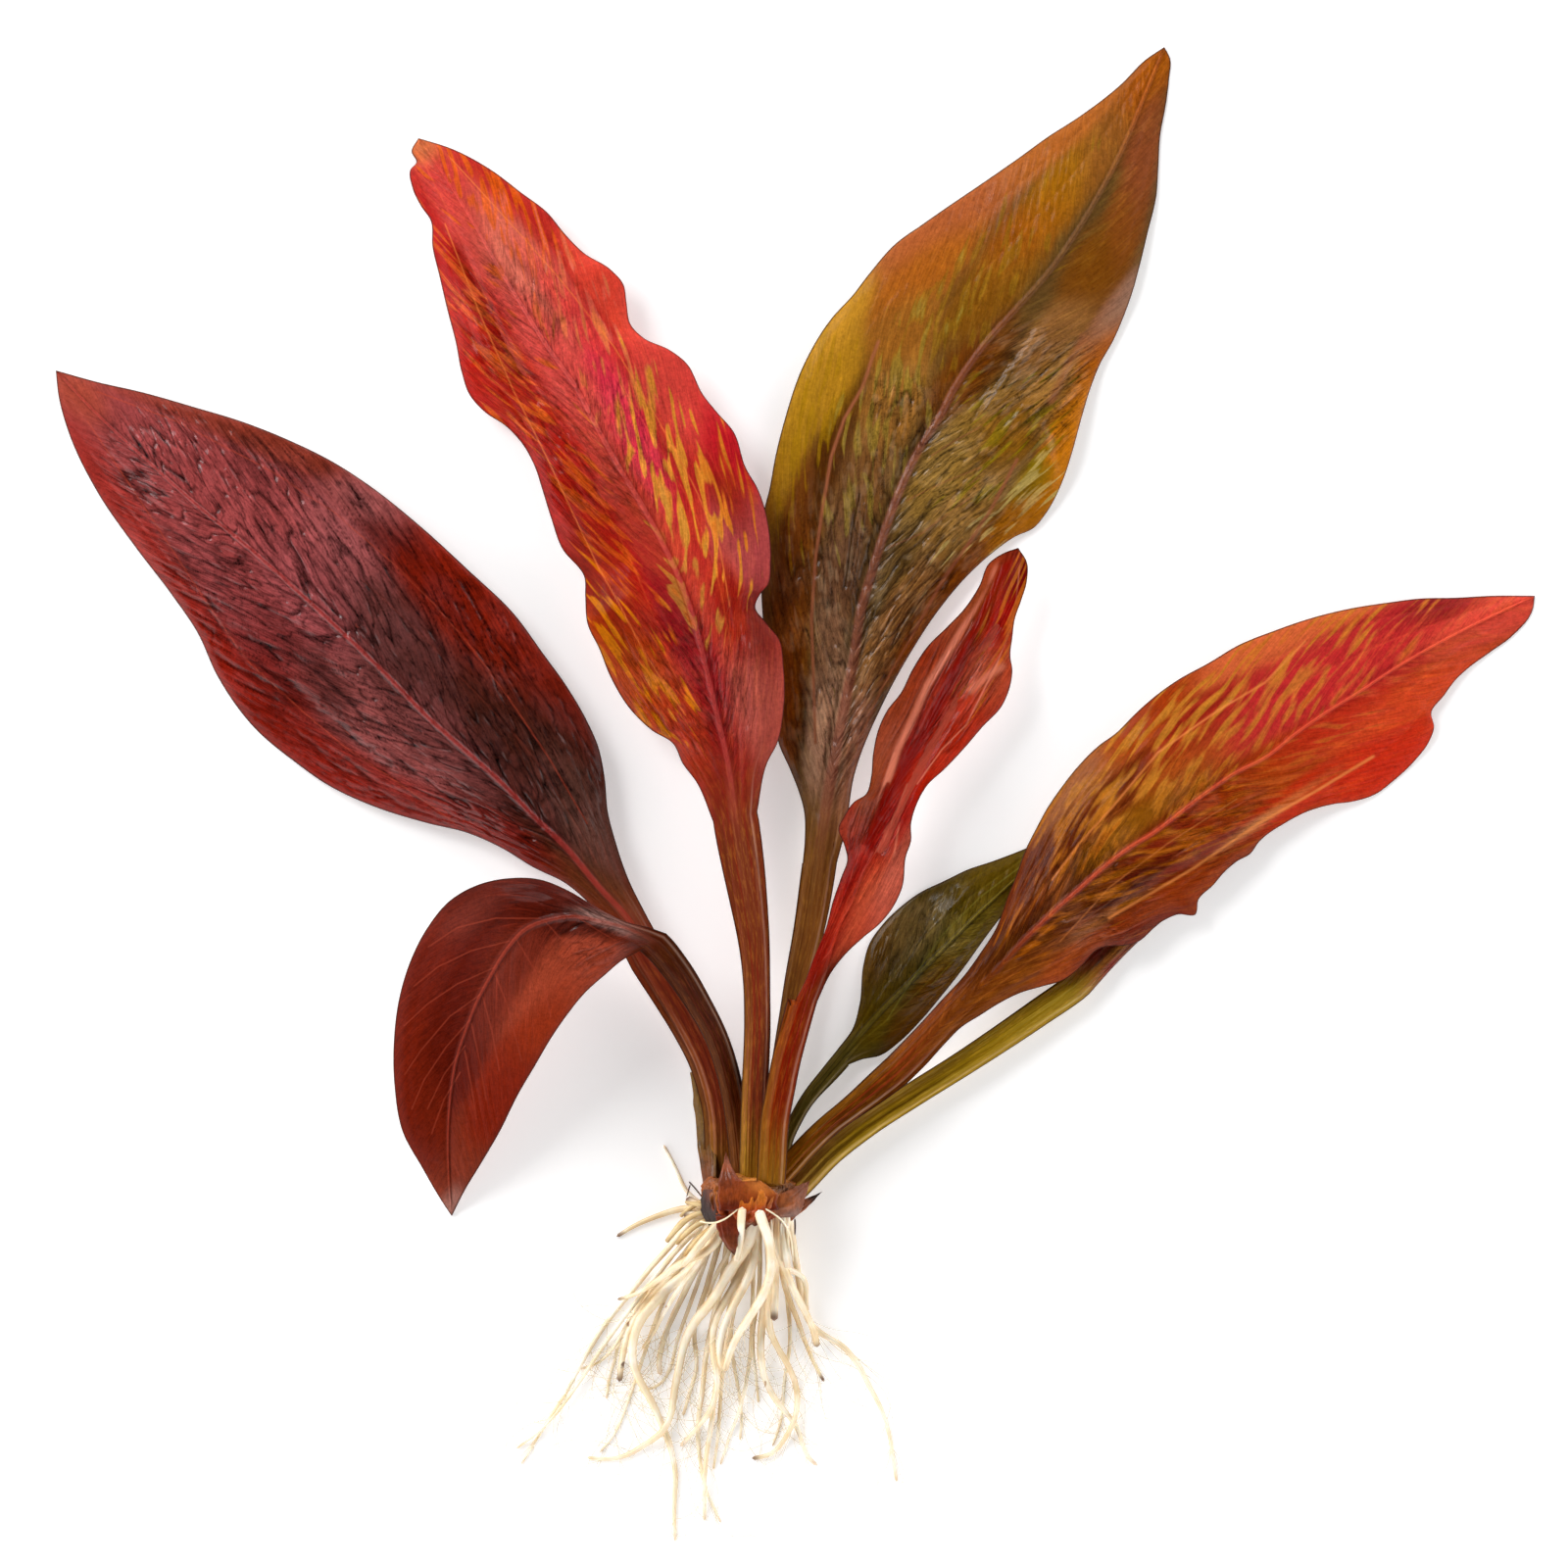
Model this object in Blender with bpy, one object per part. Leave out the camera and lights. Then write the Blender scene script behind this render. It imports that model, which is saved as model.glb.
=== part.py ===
"""A bare-rooted amazon sword plant, laid flat on a surface as it is before planting.

Eight leaves grow from one short crown: each is one solid, from the base of its
petiole to the tip of its blade. Scraps of old leaf sheath stay on the crown, and
a tuft of pale roots spreads below it. The plant's length lies along Y with the
leaves towards +Y, and the surface that it lies on is z = 0.

Places in the plane are photograph pixels, seen from straight above: x to the
right, y down. Heights are millimetres above the surface.
"""

import math

import bmesh
import bpy
import numpy as np

MM = 0.001

# Driving dimensions.
PLANT_LENGTH = 259.5 * MM  # from the lowest root tip to the tip of the tallest leaf
BLADE_THICKNESS = 0.6 * MM
CROWN_HEIGHT = 15.5 * MM

# The same length in the photograph, and the middle of the plant's outline there.
TOP_PIXEL = 48
BOTTOM_PIXEL = 1574
LEFT_PIXEL = 56
RIGHT_PIXEL = 1566
PIXEL = PLANT_LENGTH / (BOTTOM_PIXEL - TOP_PIXEL)
MIDDLE_X = (LEFT_PIXEL + RIGHT_PIXEL) / 2
MIDDLE_Y = (TOP_PIXEL + BOTTOM_PIXEL) / 2

# Each leaf: its petiole and midrib from the crown to the tip, and the margins of
# its blade on the left and the right of someone who walks out along the midrib.
# Every point is (x pixel, y pixel, height in mm).
LEAVES = {
    "leaf_wine": {
        "petiole": [(738, 1190, 3.4), (735, 1130, 4.2), (723, 1085, 5.0), (705, 1046, 5.8), (685, 1010, 6.5)],
        "midrib": [
            (662, 972, 7.2), (643, 939, 7.6), (613, 906, 7.8), (579, 865, 7.8), (545, 832, 7.8),
            (512, 798, 7.8), (474, 764, 7.8), (437, 731, 7.8), (397, 690, 7.6), (333, 629, 7.2),
            (262, 565, 6.6), (198, 512, 5.6), (151, 470, 4.2), (101, 424, 2.4), (57, 378, 0.2),
        ],
        "left": [
            (640, 978, 6.8), (622, 948, 6.2), (599, 919, 5.4), (579, 902, 5.0), (545, 885, 4.4),
            (512, 865, 4.0), (478, 850, 3.6), (437, 840, 3.0), (377, 821, 2.2), (333, 800, 1.3),
            (303, 779, 0.7), (259, 742, 0.2), (222, 690, 0.4), (202, 646, 1.1), (175, 606, 1.5),
            (139, 559, 1.0), (100, 503, 0.4), (70, 441, 0.2), (60, 405, 0.2), (57, 378, 0.2),
        ],
        "right": [
            (676, 962, 7.0), (658, 929, 6.6), (643, 899, 6.0), (629, 859, 5.4), (621, 828, 5.0),
            (618, 795, 4.8), (611, 761, 4.8), (599, 734, 5.0), (579, 700, 5.0), (556, 668, 4.6),
            (525, 626, 4.4), (478, 581, 4.6), (431, 538, 5.0), (377, 495, 5.0), (343, 473, 4.6),
            (299, 451, 3.8), (249, 431, 3.0), (200, 416, 2.0), (144, 400, 1.0), (100, 390, 0.5),
            (57, 378, 0.2),
        ],
        "foot_left": 3.2,
        "foot_right": 2.2,
        "rib_depth": (1.7, 0.25),
        "puff": 1.2,
        "stations": (6, 18),
        "colour": (0.22, 0.035, 0.03),
    },
    "leaf_drooping": {
        "petiole": [
            (757, 1188, 6.8), (752, 1140, 7.4), (744, 1096, 9.2), (733, 1060, 12.0), (713, 1020, 16.0),
            (692, 986, 19.6),
        ],
        "midrib": [
            (668, 958, 22.4), (645, 945, 24.4), (618, 938, 25.6), (592, 933, 26.0), (565, 936, 25.4),
            (542, 945, 24.0), (520, 968, 21.4), (504, 994, 18.8), (490, 1020, 16.4), (478, 1050, 13.8),
            (468, 1080, 11.4), (462, 1115, 9.0), (459, 1155, 6.4), (459, 1200, 3.2), (461, 1241, 0.2),
        ],
        "left": [
            (655, 968, 21.5), (638, 977, 22.4), (620, 992, 22.4), (600, 1010, 21.4), (582, 1032, 19.8),
            (566, 1055, 18.0), (550, 1082, 15.6), (530, 1116, 12.6), (512, 1152, 9.4),
            (492, 1186, 6.2), (476, 1212, 3.4), (461, 1241, 0.2),
        ],
        "right": [
            (664, 944, 23.0), (640, 938, 24.6), (612, 924, 25.0), (585, 908, 24.4), (555, 896, 23.0),
            (520, 895, 21.0), (490, 902, 19.0), (462, 918, 16.8), (440, 944, 14.6), (422, 978, 12.6),
            (410, 1016, 10.8), (404, 1060, 9.0), (404, 1105, 7.0), (412, 1154, 4.8), (432, 1192, 2.8),
            (450, 1224, 1.0), (461, 1241, 0.2),
        ],
        "foot_left": 2.0,
        "foot_right": 2.0,
        "rib_depth": (1.6, 0.25),
        "puff": 0.8,
        "stations": (7, 15),
        "colour": (0.18, 0.025, 0.015),
    },
    "leaf_red": {
        "petiole": [(768, 1188, 10.5), (770, 1120, 10.8), (773, 1040, 11.0), (770, 965, 11.0), (762, 905, 11.0)],
        "midrib": [
            (751, 836, 10.8), (743, 779, 10.6), (733, 734, 10.4), (722, 688, 10.2), (711, 643, 10.0),
            (696, 597, 9.8), (677, 556, 9.6), (654, 514, 9.4), (631, 476, 9.2), (608, 434, 9.0),
            (586, 393, 8.6), (559, 355, 8.2), (533, 313, 7.4), (510, 275, 6.4), (487, 234, 5.2),
            (464, 196, 3.8), (442, 162, 1.8), (427, 141, 0.2),
        ],
        "left": [
            (728, 838, 10.4), (711, 798, 10.0), (697, 779, 9.6), (688, 760, 8.6), (665, 745, 7.0),
            (642, 722, 6.0), (624, 692, 6.6), (612, 662, 8.0), (601, 639, 8.6), (598, 609, 6.8),
            (597, 590, 5.4), (574, 560, 5.0), (563, 529, 6.4), (555, 503, 7.0), (546, 476, 6.0),
            (533, 453, 4.6), (517, 436, 3.8), (495, 421, 3.6), (480, 404, 4.4), (472, 381, 5.0),
            (466, 351, 4.0), (457, 317, 2.8), (449, 283, 2.4), (442, 253, 2.8), (440, 226, 2.2),
            (430, 211, 1.4), (421, 192, 0.7), (419, 173, 0.5), (425, 166, 0.6), (420, 155, 0.4),
            (427, 141, 0.2),
        ],
        "right": [
            (773, 828, 10.4), (783, 779, 10.6), (794, 757, 10.8), (800, 726, 11.0), (800, 681, 10.6),
            (796, 654, 10.0), (783, 637, 9.0), (771, 620, 8.4), (777, 606, 9.0), (784, 598, 9.8),
            (787, 575, 10.4), (786, 548, 10.0), (773, 499, 8.8), (762, 480, 8.6), (749, 442, 8.2),
            (733, 423, 7.0), (718, 404, 6.0), (701, 372, 6.6), (684, 359, 7.6), (658, 347, 7.4),
            (644, 332, 6.0), (640, 310, 5.2), (637, 292, 5.6), (624, 277, 6.2), (597, 260, 5.4),
            (578, 241, 4.4), (559, 218, 4.0), (533, 198, 3.2), (500, 173, 2.0), (461, 152, 0.8),
            (427, 141, 0.2),
        ],
        "foot_left": 2.3,
        "foot_right": 2.3,
        "rib_depth": (1.8, 0.25),
        "puff": 1.4,
        "stations": (5, 27),
        "colour": (0.5, 0.03, 0.02),
    },
    "leaf_olive": {
        "petiole": [(783, 1188, 4.4), (793, 1130, 4.9), (804, 1060, 4.9), (814, 1000, 4.8), (825, 945, 4.8)],
        "midrib": [
            (835, 878, 4.9), (841, 835, 4.8), (850, 780, 4.7), (859, 733, 4.6), (870, 679, 4.5),
            (878, 625, 4.4), (891, 579, 4.4), (903, 541, 4.5), (920, 496, 4.7), (936, 462, 4.9),
            (957, 429, 5.1), (974, 396, 5.2), (1003, 354, 5.2), (1036, 317, 5.0), (1069, 280, 4.8),
            (1103, 230, 4.2), (1144, 155, 3.0), (1165, 105, 1.6), (1188, 48, 0.2),
        ],
        "left": [
            (819, 880, 4.6), (821, 858, 4.4), (820, 826, 4.0), (815, 808, 3.6), (806, 785, 3.2),
            (795, 760, 2.6), (788, 720, 2.0), (782, 680, 1.6), (779, 640, 1.6), (777, 610, 1.8),
            (778, 565, 1.8), (780, 520, 1.8), (785, 500, 1.9), (791, 467, 2.2), (800, 431, 2.6),
            (820, 373, 3.0), (849, 325, 3.0), (870, 302, 2.6), (886, 281, 2.2), (915, 248, 1.2),
            (940, 230, 0.6), (970, 209, 0.3), (1001, 188, 0.3), (1040, 161, 0.6), (1069, 140, 0.7),
            (1100, 120, 0.4), (1144, 86, 0.2), (1169, 61, 0.2), (1188, 48, 0.2),
        ],
        "right": [
            (854, 880, 4.7), (862, 850, 4.4), (872, 790, 4.0), (900, 720, 3.4), (930, 665, 3.0),
            (960, 620, 2.6), (990, 585, 2.2), (1011, 566, 1.8), (1036, 548, 1.0), (1055, 539, 0.7),
            (1067, 525, 0.9), (1078, 506, 1.5), (1086, 487, 2.2), (1094, 462, 2.6), (1103, 429, 2.4),
            (1113, 396, 1.7), (1123, 371, 1.2), (1136, 348, 1.0), (1146, 325, 1.2), (1155, 300, 1.6),
            (1163, 271, 1.6), (1171, 238, 1.2), (1180, 200, 0.6), (1182, 171, 0.4), (1184, 138, 0.4),
            (1190, 105, 0.3), (1193, 80, 0.2), (1194, 60, 0.2), (1188, 48, 0.2),
        ],
        "foot_left": 2.2,
        "foot_right": 2.2,
        "rib_depth": (1.7, 0.25),
        "puff": 1.3,
        "stations": (5, 22),
        "colour": (0.2, 0.11, 0.02),
    },
    "leaf_young": {
        "petiole": [(788, 1186, 14.0), (791, 1140, 13.6), (796, 1112, 13.2), (803, 1080, 12.8), (812, 1050, 12.4)],
        "midrib": [
            (822, 1017, 11.8), (830, 991, 11.2), (842, 958, 10.8), (857, 923, 10.4), (871, 888, 10.0),
            (886, 852, 9.8), (904, 814, 9.6), (921, 785, 9.4), (945, 746, 9.2), (966, 708, 9.0),
            (986, 673, 8.8), (1007, 637, 8.4), (1022, 599, 7.8), (1032, 575, 7.3), (1038, 560, 7.0),
        ],
        "left": [
            (807, 1026, 12.4), (821, 1000, 12.4), (830, 976, 12.4), (842, 947, 12.6), (849, 920, 12.6),
            (858, 894, 12.4), (864, 876, 12.0), (861, 862, 11.6), (855, 845, 11.4), (861, 832, 11.8),
            (871, 818, 12.4), (883, 810, 12.8), (888, 793, 13.0), (890, 770, 13.2), (896, 743, 13.0),
            (904, 726, 12.6), (918, 708, 12.4), (930, 684, 12.0), (945, 661, 11.4), (966, 640, 10.6),
            (983, 622, 10.0), (998, 599, 9.2), (1008, 576, 8.2), (1024, 565, 7.4), (1038, 560, 7.0),
        ],
        "right": [
            (834, 1020, 11.8), (848, 991, 11.4), (862, 973, 11.2), (880, 956, 11.2), (898, 941, 11.0),
            (910, 926, 10.6), (920, 905, 10.0), (924, 873, 9.4), (929, 858, 9.4), (929, 841, 9.6),
            (935, 820, 9.8), (945, 802, 9.6), (963, 785, 9.0), (983, 764, 8.2), (1001, 743, 7.6),
            (1022, 720, 7.2), (1030, 700, 7.4), (1032, 684, 7.6), (1030, 670, 7.4), (1032, 652, 7.0),
            (1035, 631, 6.8), (1041, 614, 6.8), (1047, 593, 6.8), (1047, 575, 6.8), (1038, 560, 7.0),
        ],
        "foot_left": 2.5,
        "foot_right": 2.5,
        "rib_depth": (1.6, 0.2),
        "puff": 0.5,
        "stations": (5, 21),
        "colour": (0.45, 0.025, 0.02),
    },
    "leaf_green": {
        "petiole": [(800, 1190, 1.4), (802, 1165, 1.5), (813, 1140, 1.7), (826, 1118, 2.0), (842, 1098, 2.3)],
        "midrib": [
            (860, 1076, 2.4), (880, 1052, 2.6), (900, 1030, 2.8), (925, 1005, 3.0), (950, 980, 3.0),
            (975, 955, 3.0), (1000, 930, 2.8), (1040, 893, 2.0), (1065, 870, 1.2), (1088, 850, 0.2),
        ],
        "left": [
            (854, 1071, 2.2), (870, 1049, 1.8), (877, 1024, 1.2), (881, 984, 0.6), (887, 963, 0.3),
            (900, 944, 0.2), (917, 927, 0.2), (940, 910, 0.4), (963, 899, 0.5), (988, 887, 0.5),
            (1012, 879, 0.4), (1041, 868, 0.3), (1065, 858, 0.2), (1088, 850, 0.2),
        ],
        "right": [
            (866, 1086, 2.2), (879, 1081, 2.0), (898, 1077, 1.6), (918, 1063, 1.2), (940, 1041, 0.9),
            (961, 1016, 0.9), (986, 984, 1.1), (1003, 960, 1.1), (1022, 935, 0.8), (1045, 908, 0.5),
            (1068, 880, 0.3), (1088, 850, 0.2),
        ],
        "foot_left": 1.2,
        "foot_right": 1.2,
        "rib_depth": (0.9, 0.15),
        "puff": 0.6,
        "stations": (5, 11),
        "colour": (0.07, 0.07, 0.01),
    },
    "leaf_right": {
        "petiole": [(806, 1187, 8.5), (825, 1166, 8.8), (845, 1147, 9.0), (870, 1127, 9.2), (893, 1108, 9.4)],
        "midrib": [
            (916, 1088, 9.5), (942, 1062, 9.6), (967, 1036, 9.6), (992, 1012, 9.6), (1020, 984, 9.5),
            (1043, 959, 9.4), (1072, 931, 9.2), (1100, 906, 9.0), (1125, 884, 8.8), (1150, 865, 8.6),
            (1176, 849, 8.4), (1201, 830, 8.2), (1226, 811, 7.8), (1258, 789, 7.4), (1289, 773, 7.0),
            (1321, 748, 6.6), (1353, 726, 6.0), (1384, 707, 5.4), (1422, 682, 4.6), (1460, 660, 3.6),
            (1498, 640, 2.6), (1536, 622, 1.4), (1566, 608, 0.2),
        ],
        "left": [
            (904, 1078, 9.2), (940, 1041, 9.2), (959, 1020, 9.0), (983, 994, 8.6), (999, 972, 8.0),
            (1015, 947, 7.4), (1027, 915, 6.8), (1037, 890, 6.2), (1045, 868, 5.8), (1056, 846, 5.4),
            (1068, 824, 5.0), (1081, 805, 4.8), (1100, 781, 4.6), (1119, 762, 4.4), (1138, 748, 4.2),
            (1157, 729, 4.0), (1176, 712, 3.8), (1201, 694, 3.4), (1232, 677, 3.0), (1264, 658, 2.8),
            (1299, 644, 2.8), (1337, 631, 3.0), (1378, 621, 2.6), (1416, 615, 1.9), (1447, 611, 1.2),
            (1485, 610, 0.6), (1523, 608, 0.3), (1566, 608, 0.2),
        ],
        "right": [
            (928, 1101, 9.2), (944, 1085, 9.2), (963, 1064, 9.0), (980, 1047, 8.8), (999, 1035, 8.4),
            (1020, 1022, 7.8), (1041, 1012, 7.2), (1062, 1006, 6.6), (1085, 999, 6.2),
            (1104, 984, 6.0), (1117, 970, 5.8), (1160, 961, 5.0), (1185, 940, 4.6), (1201, 933, 4.4),
            (1219, 933, 4.0), (1222, 918, 4.2), (1237, 903, 4.6), (1248, 890, 4.8), (1261, 879, 4.6),
            (1275, 871, 4.0), (1283, 860, 3.8), (1312, 839, 3.4), (1334, 828, 2.8), (1359, 821, 1.8),
            (1381, 818, 1.0), (1403, 811, 0.4), (1422, 797, 0.3), (1444, 776, 0.5), (1458, 757, 0.9),
            (1463, 742, 1.2), (1460, 728, 1.4), (1473, 710, 1.2), (1485, 694, 1.0), (1498, 682, 0.7),
            (1520, 666, 0.4), (1542, 650, 0.3), (1564, 622, 0.2), (1566, 608, 0.2),
        ],
        "foot_left": 2.0,
        "foot_right": 2.0,
        "rib_depth": (1.6, 0.25),
        "puff": 1.2,
        "stations": (5, 25),
        "colour": (0.4, 0.07, 0.02),
    },
    "leaf_under": {
        "petiole": [
            (824, 1200, 4.2), (845, 1178, 4.2), (880, 1150, 4.0), (935, 1114, 3.8), (980, 1086, 3.6),
            (1020, 1060, 3.4), (1060, 1033, 3.1),
        ],
        "midrib": [
            (1100, 1005, 2.8), (1132, 975, 2.5), (1165, 940, 2.4), (1200, 900, 2.3), (1235, 860, 2.1),
            (1270, 822, 1.6), (1300, 790, 1.0), (1325, 762, 0.2),
        ],
        "left": [
            (1089, 994, 2.6), (1108, 966, 2.2), (1125, 930, 1.5), (1150, 885, 1.0), (1185, 840, 0.8),
            (1225, 805, 0.6), (1265, 785, 0.5), (1300, 771, 0.3), (1325, 762, 0.2),
        ],
        "right": [
            (1111, 1014, 2.6), (1138, 984, 2.1), (1160, 962, 1.6), (1195, 932, 1.1), (1228, 903, 0.7),
            (1262, 868, 0.5), (1290, 835, 0.3), (1312, 800, 0.2), (1325, 762, 0.2),
        ],
        "foot_left": 2.2,
        "foot_right": 2.2,
        "rib_depth": (1.6, 0.2),
        "puff": 0.5,
        "stations": (7, 10),
        "colour": (0.25, 0.18, 0.02),
    },
}

# Each root: (thickness at the crown, thickness at the tip) in mm, and its course
# in photograph pixels. They are laid down in this order, each on those before it.
# The last two are stubs of torn roots.
ROOTS = [
    ((0.9, 0.4), [(750, 1247), (748, 1310), (746, 1370), (752, 1410), (757, 1440), (755, 1470)]),
    ((0.9, 0.4), [(768, 1247), (768, 1330), (764, 1395), (757, 1430), (744, 1468), (735, 1495)]),
    ((0.9, 0.4), [(719, 1248), (690, 1300), (668, 1350), (654, 1392), (640, 1432), (628, 1462), (612, 1482)]),
    ((0.9, 0.4), [(793, 1247), (803, 1320), (806, 1370), (800, 1412), (797, 1450), (788, 1476)]),
    ((1.1, 0.5), [(740, 1247), (722, 1310), (708, 1360), (711, 1395), (704, 1420), (697, 1445)]),
    ((0.9, 0.4), [(775, 1247), (775, 1310), (768, 1370), (772, 1410), (774, 1432)]),
    ((0.9, 0.4), [(734, 1247), (715, 1300), (701, 1340), (690, 1370), (683, 1400), (668, 1417), (651, 1418)]),
    ((1.1, 0.4), [(760, 1247), (752, 1320), (740, 1380), (735, 1430), (733, 1462), (728, 1500)]),
    ((1.2, 0.4), [
        (745, 1247), (738, 1300), (727, 1350), (720, 1385), (717, 1418), (712, 1453), (714, 1487),
        (719, 1515), (728, 1538), (736, 1554),
    ]),
    ((1.3, 0.6), [
        (758, 1247), (752, 1300), (742, 1350), (734, 1395), (729, 1425), (726, 1453), (721, 1483),
        (719, 1510), (719, 1552),
    ]),
    ((1.0, 0.4), [
        (722, 1247), (694, 1284), (668, 1312), (646, 1340), (634, 1362), (628, 1385), (622, 1405),
        (619, 1428),
    ]),
    ((0.8, 0.4), [
        (712, 1246), (684, 1284), (656, 1322), (638, 1355), (626, 1376), (617, 1386), (605, 1394),
        (588, 1397),
    ]),
    ((1.4, 1.0), [
        (728, 1247), (704, 1280), (676, 1310), (656, 1333), (645, 1350), (638, 1370), (634, 1392),
        (632, 1410),
    ]),
    ((0.8, 0.5), [(712, 1224), (703, 1220), (696, 1207), (687, 1186), (677, 1168)]),
    ((1.3, 0.6), [(711, 1231), (690, 1234), (670, 1241), (650, 1249), (629, 1262)]),
    ((1.1, 0.4), [
        (711, 1240), (699, 1252), (683, 1272), (664, 1293), (650, 1311), (631, 1334), (613, 1358),
        (594, 1390), (578, 1420), (559, 1450), (543, 1476), (532, 1494),
    ]),
    ((0.9, 0.4), [
        (716, 1249), (697, 1268), (676, 1292), (655, 1320), (632, 1350), (610, 1382), (590, 1412),
        (566, 1444), (546, 1464), (527, 1478),
    ]),
    ((1.2, 0.9), [
        (735, 1247), (718, 1280), (705, 1305), (697, 1322), (688, 1340), (680, 1358), (675, 1375),
        (672, 1390), (674, 1403),
    ]),
    ((1.3, 0.5), [
        (797, 1247), (797, 1275), (799, 1303), (806, 1327), (815, 1350), (822, 1370), (830, 1390),
        (841, 1410),
    ]),
    ((1.3, 0.5), [
        (806, 1246), (812, 1285), (818, 1320), (826, 1350), (840, 1362), (860, 1373), (874, 1390),
        (888, 1416), (900, 1439), (907, 1462), (911, 1487), (915, 1512),
    ]),
    ((1.7, 0.6), [
        (783, 1247), (786, 1280), (785, 1305), (781, 1325), (778, 1348), (776, 1370), (777, 1390),
        (782, 1411), (789, 1425), (802, 1441), (814, 1457), (819, 1475), (824, 1488), (834, 1495),
    ]),
    ((1.4, 0.7), [
        (790, 1247), (788, 1300), (784, 1335), (786, 1358), (795, 1377), (805, 1394), (812, 1412),
        (814, 1430), (811, 1448), (802, 1466), (789, 1483), (767, 1488),
    ]),
    ((1.6, 0.6), [
        (765, 1247), (764, 1275), (757, 1295), (748, 1312), (738, 1330), (730, 1346), (727, 1363),
        (728, 1382), (732, 1402), (731, 1422), (724, 1440), (712, 1456), (694, 1476),
    ]),
    ((2.0, 0.5), [
        (723, 1250), (709, 1291), (695, 1303), (680, 1315), (668, 1328), (655, 1343), (648, 1360),
        (645, 1380), (648, 1397), (655, 1412), (665, 1430), (674, 1450), (684, 1475), (689, 1500),
        (688, 1540), (689, 1573),
    ]),
    ((1.0, 0.6), [(731, 1249), (712, 1288), (698, 1306), (684, 1328), (674, 1345), (667, 1360), (655, 1376)]),
    ((1.0, 0.6), [(748, 1249), (745, 1275), (735, 1292), (728, 1306), (722, 1326)]),
    ((1.6, 1.2), [
        (772, 1247), (771, 1275), (766, 1296), (757, 1315), (748, 1332), (740, 1348), (736, 1364),
        (734, 1382), (738, 1396),
    ]),
    ((1.1, 0.9), [
        (803, 1247), (800, 1272), (801, 1292), (812, 1297), (820, 1300), (823, 1307), (822, 1320),
        (823, 1338),
    ]),
    ((1.5, 1.3), [(789, 1248), (791, 1280), (791, 1310), (790, 1346)]),
    ((1.7, 0.5), [
        (737, 1249), (731, 1266), (718, 1276), (703, 1282), (690, 1290), (675, 1302), (660, 1313),
        (645, 1321), (630, 1325),
    ]),
    ((1.4, 1.1), [
        (794, 1248), (793, 1262), (795, 1277), (801, 1292), (808, 1310), (816, 1327), (824, 1341),
        (830, 1355), (834, 1374),
    ]),
    ((1.4, 1.2), [(727, 1252), (716, 1265), (706, 1278), (697, 1289)]),
    ((2.0, 0.6), [
        (769, 1247), (766, 1262), (758, 1276), (748, 1290), (740, 1303), (732, 1318), (722, 1332),
        (710, 1346), (701, 1362), (696, 1380), (692, 1400), (688, 1420), (684, 1446), (675, 1462),
        (659, 1473), (640, 1485), (617, 1489), (599, 1487),
    ]),
    ((1.8, 1.1), [
        (779, 1246), (784, 1258), (787, 1278), (786, 1298), (779, 1318), (769, 1335), (758, 1352),
        (749, 1368), (743, 1384), (740, 1397),
    ]),
    ((1.3, 1.1), [(799, 1248), (799, 1262), (801, 1277), (804, 1292)]),
    ((1.4, 1.2), [(757, 1246), (756, 1258), (755, 1272), (751, 1284)]),
    ((1.7, 1.6), [(714, 1229), (707, 1226), (700, 1222)]),
    ((1.6, 1.5), [(713, 1238), (705, 1237), (697, 1236)]),
]
ROOT_STEP = 3.6 * MM  # between the points that a root's solid has
LAYING_STEP = 1.0 * MM  # between the points at which a root is laid on the others
ROOT_CLEARANCE = 0.75 * MM  # more than the 0.3 mm that is kept, because a solid's bends are cut short
STEEPEST_ROOT = 0.45  # rise over run where a root climbs over another

# The crown: a short, blunt stock.
CROWN_PLACE = (765, 1219)
CROWN_HALF_WIDTH = 7.9 * MM
CROWN_HALF_DEPTH = 4.0 * MM
CROWN_BLUNTNESS = (0.7, 0.5, 0.65)  # along X, Y and Z: 1 is an ellipsoid, less is more like a block
CROWN_LUMPS = 5
CROWN_LUMP_HEIGHT = 0.04

# Scraps of old leaf sheath, each a thin pointed shell: the middle line from its
# foot to its tip, and its half width in mm at the foot, half-way and near the tip.
SHEATHS = {
    "sheath_front": {
        "line": [(762, 1189, 13.6), (755, 1186, 13.4), (747, 1180, 12.6), (741, 1171, 12.0)],
        "half_widths": (1.1, 1.3, 0.5),
    },
    "sheath_right": {
        "line": [(819, 1222, 9.0), (825, 1220, 9.3), (831, 1218, 9.6), (838, 1215, 10.0)],
        "half_widths": (2.8, 1.8, 0.4),
    },
    "sheath_low": {
        "line": [(744, 1245, 14.2), (745, 1252, 14.4), (748, 1263, 14.2), (750, 1275, 13.8)],
        "half_widths": (1.7, 1.5, 0.6),
    },
}
SHEATH_ARCH = 0.35  # how high the middle of a sheath arches, as a share of its half width
SHEATH_STATIONS = 5

# Where the points of a leaf's section lie on each side of the midrib: as shares of
# the half width in the petiole, and as shares of the way from the rib to the margin
# in the blade.
PETIOLE_SHARES = (1.0, 0.8, 0.42)
BLADE_SHARES = (1.0, 0.5, 0.0)
PETIOLE_ROUND = 0.75  # how much of its depth a petiole also has above its middle line

CROWN_COLOUR = (0.3, 0.1, 0.03)
SHEATH_COLOUR = (0.25, 0.1, 0.04)
ROOT_COLOUR = (0.75, 0.62, 0.45)


def plan(x, y):
    """The place in metres of a photograph pixel."""
    return (x - MIDDLE_X) * PIXEL, (MIDDLE_Y - y) * PIXEL


def placed(points):
    """Points of (x pixel, y pixel, height in mm) in metres."""
    return np.array([(*plan(x, y), height * MM) for x, y, height in points])


def distances(points):
    """How far along the line through the points each one lies."""
    steps = np.linalg.norm(np.diff(points, axis=0), axis=1)
    return np.concatenate([[0.0], np.cumsum(steps)])


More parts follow.
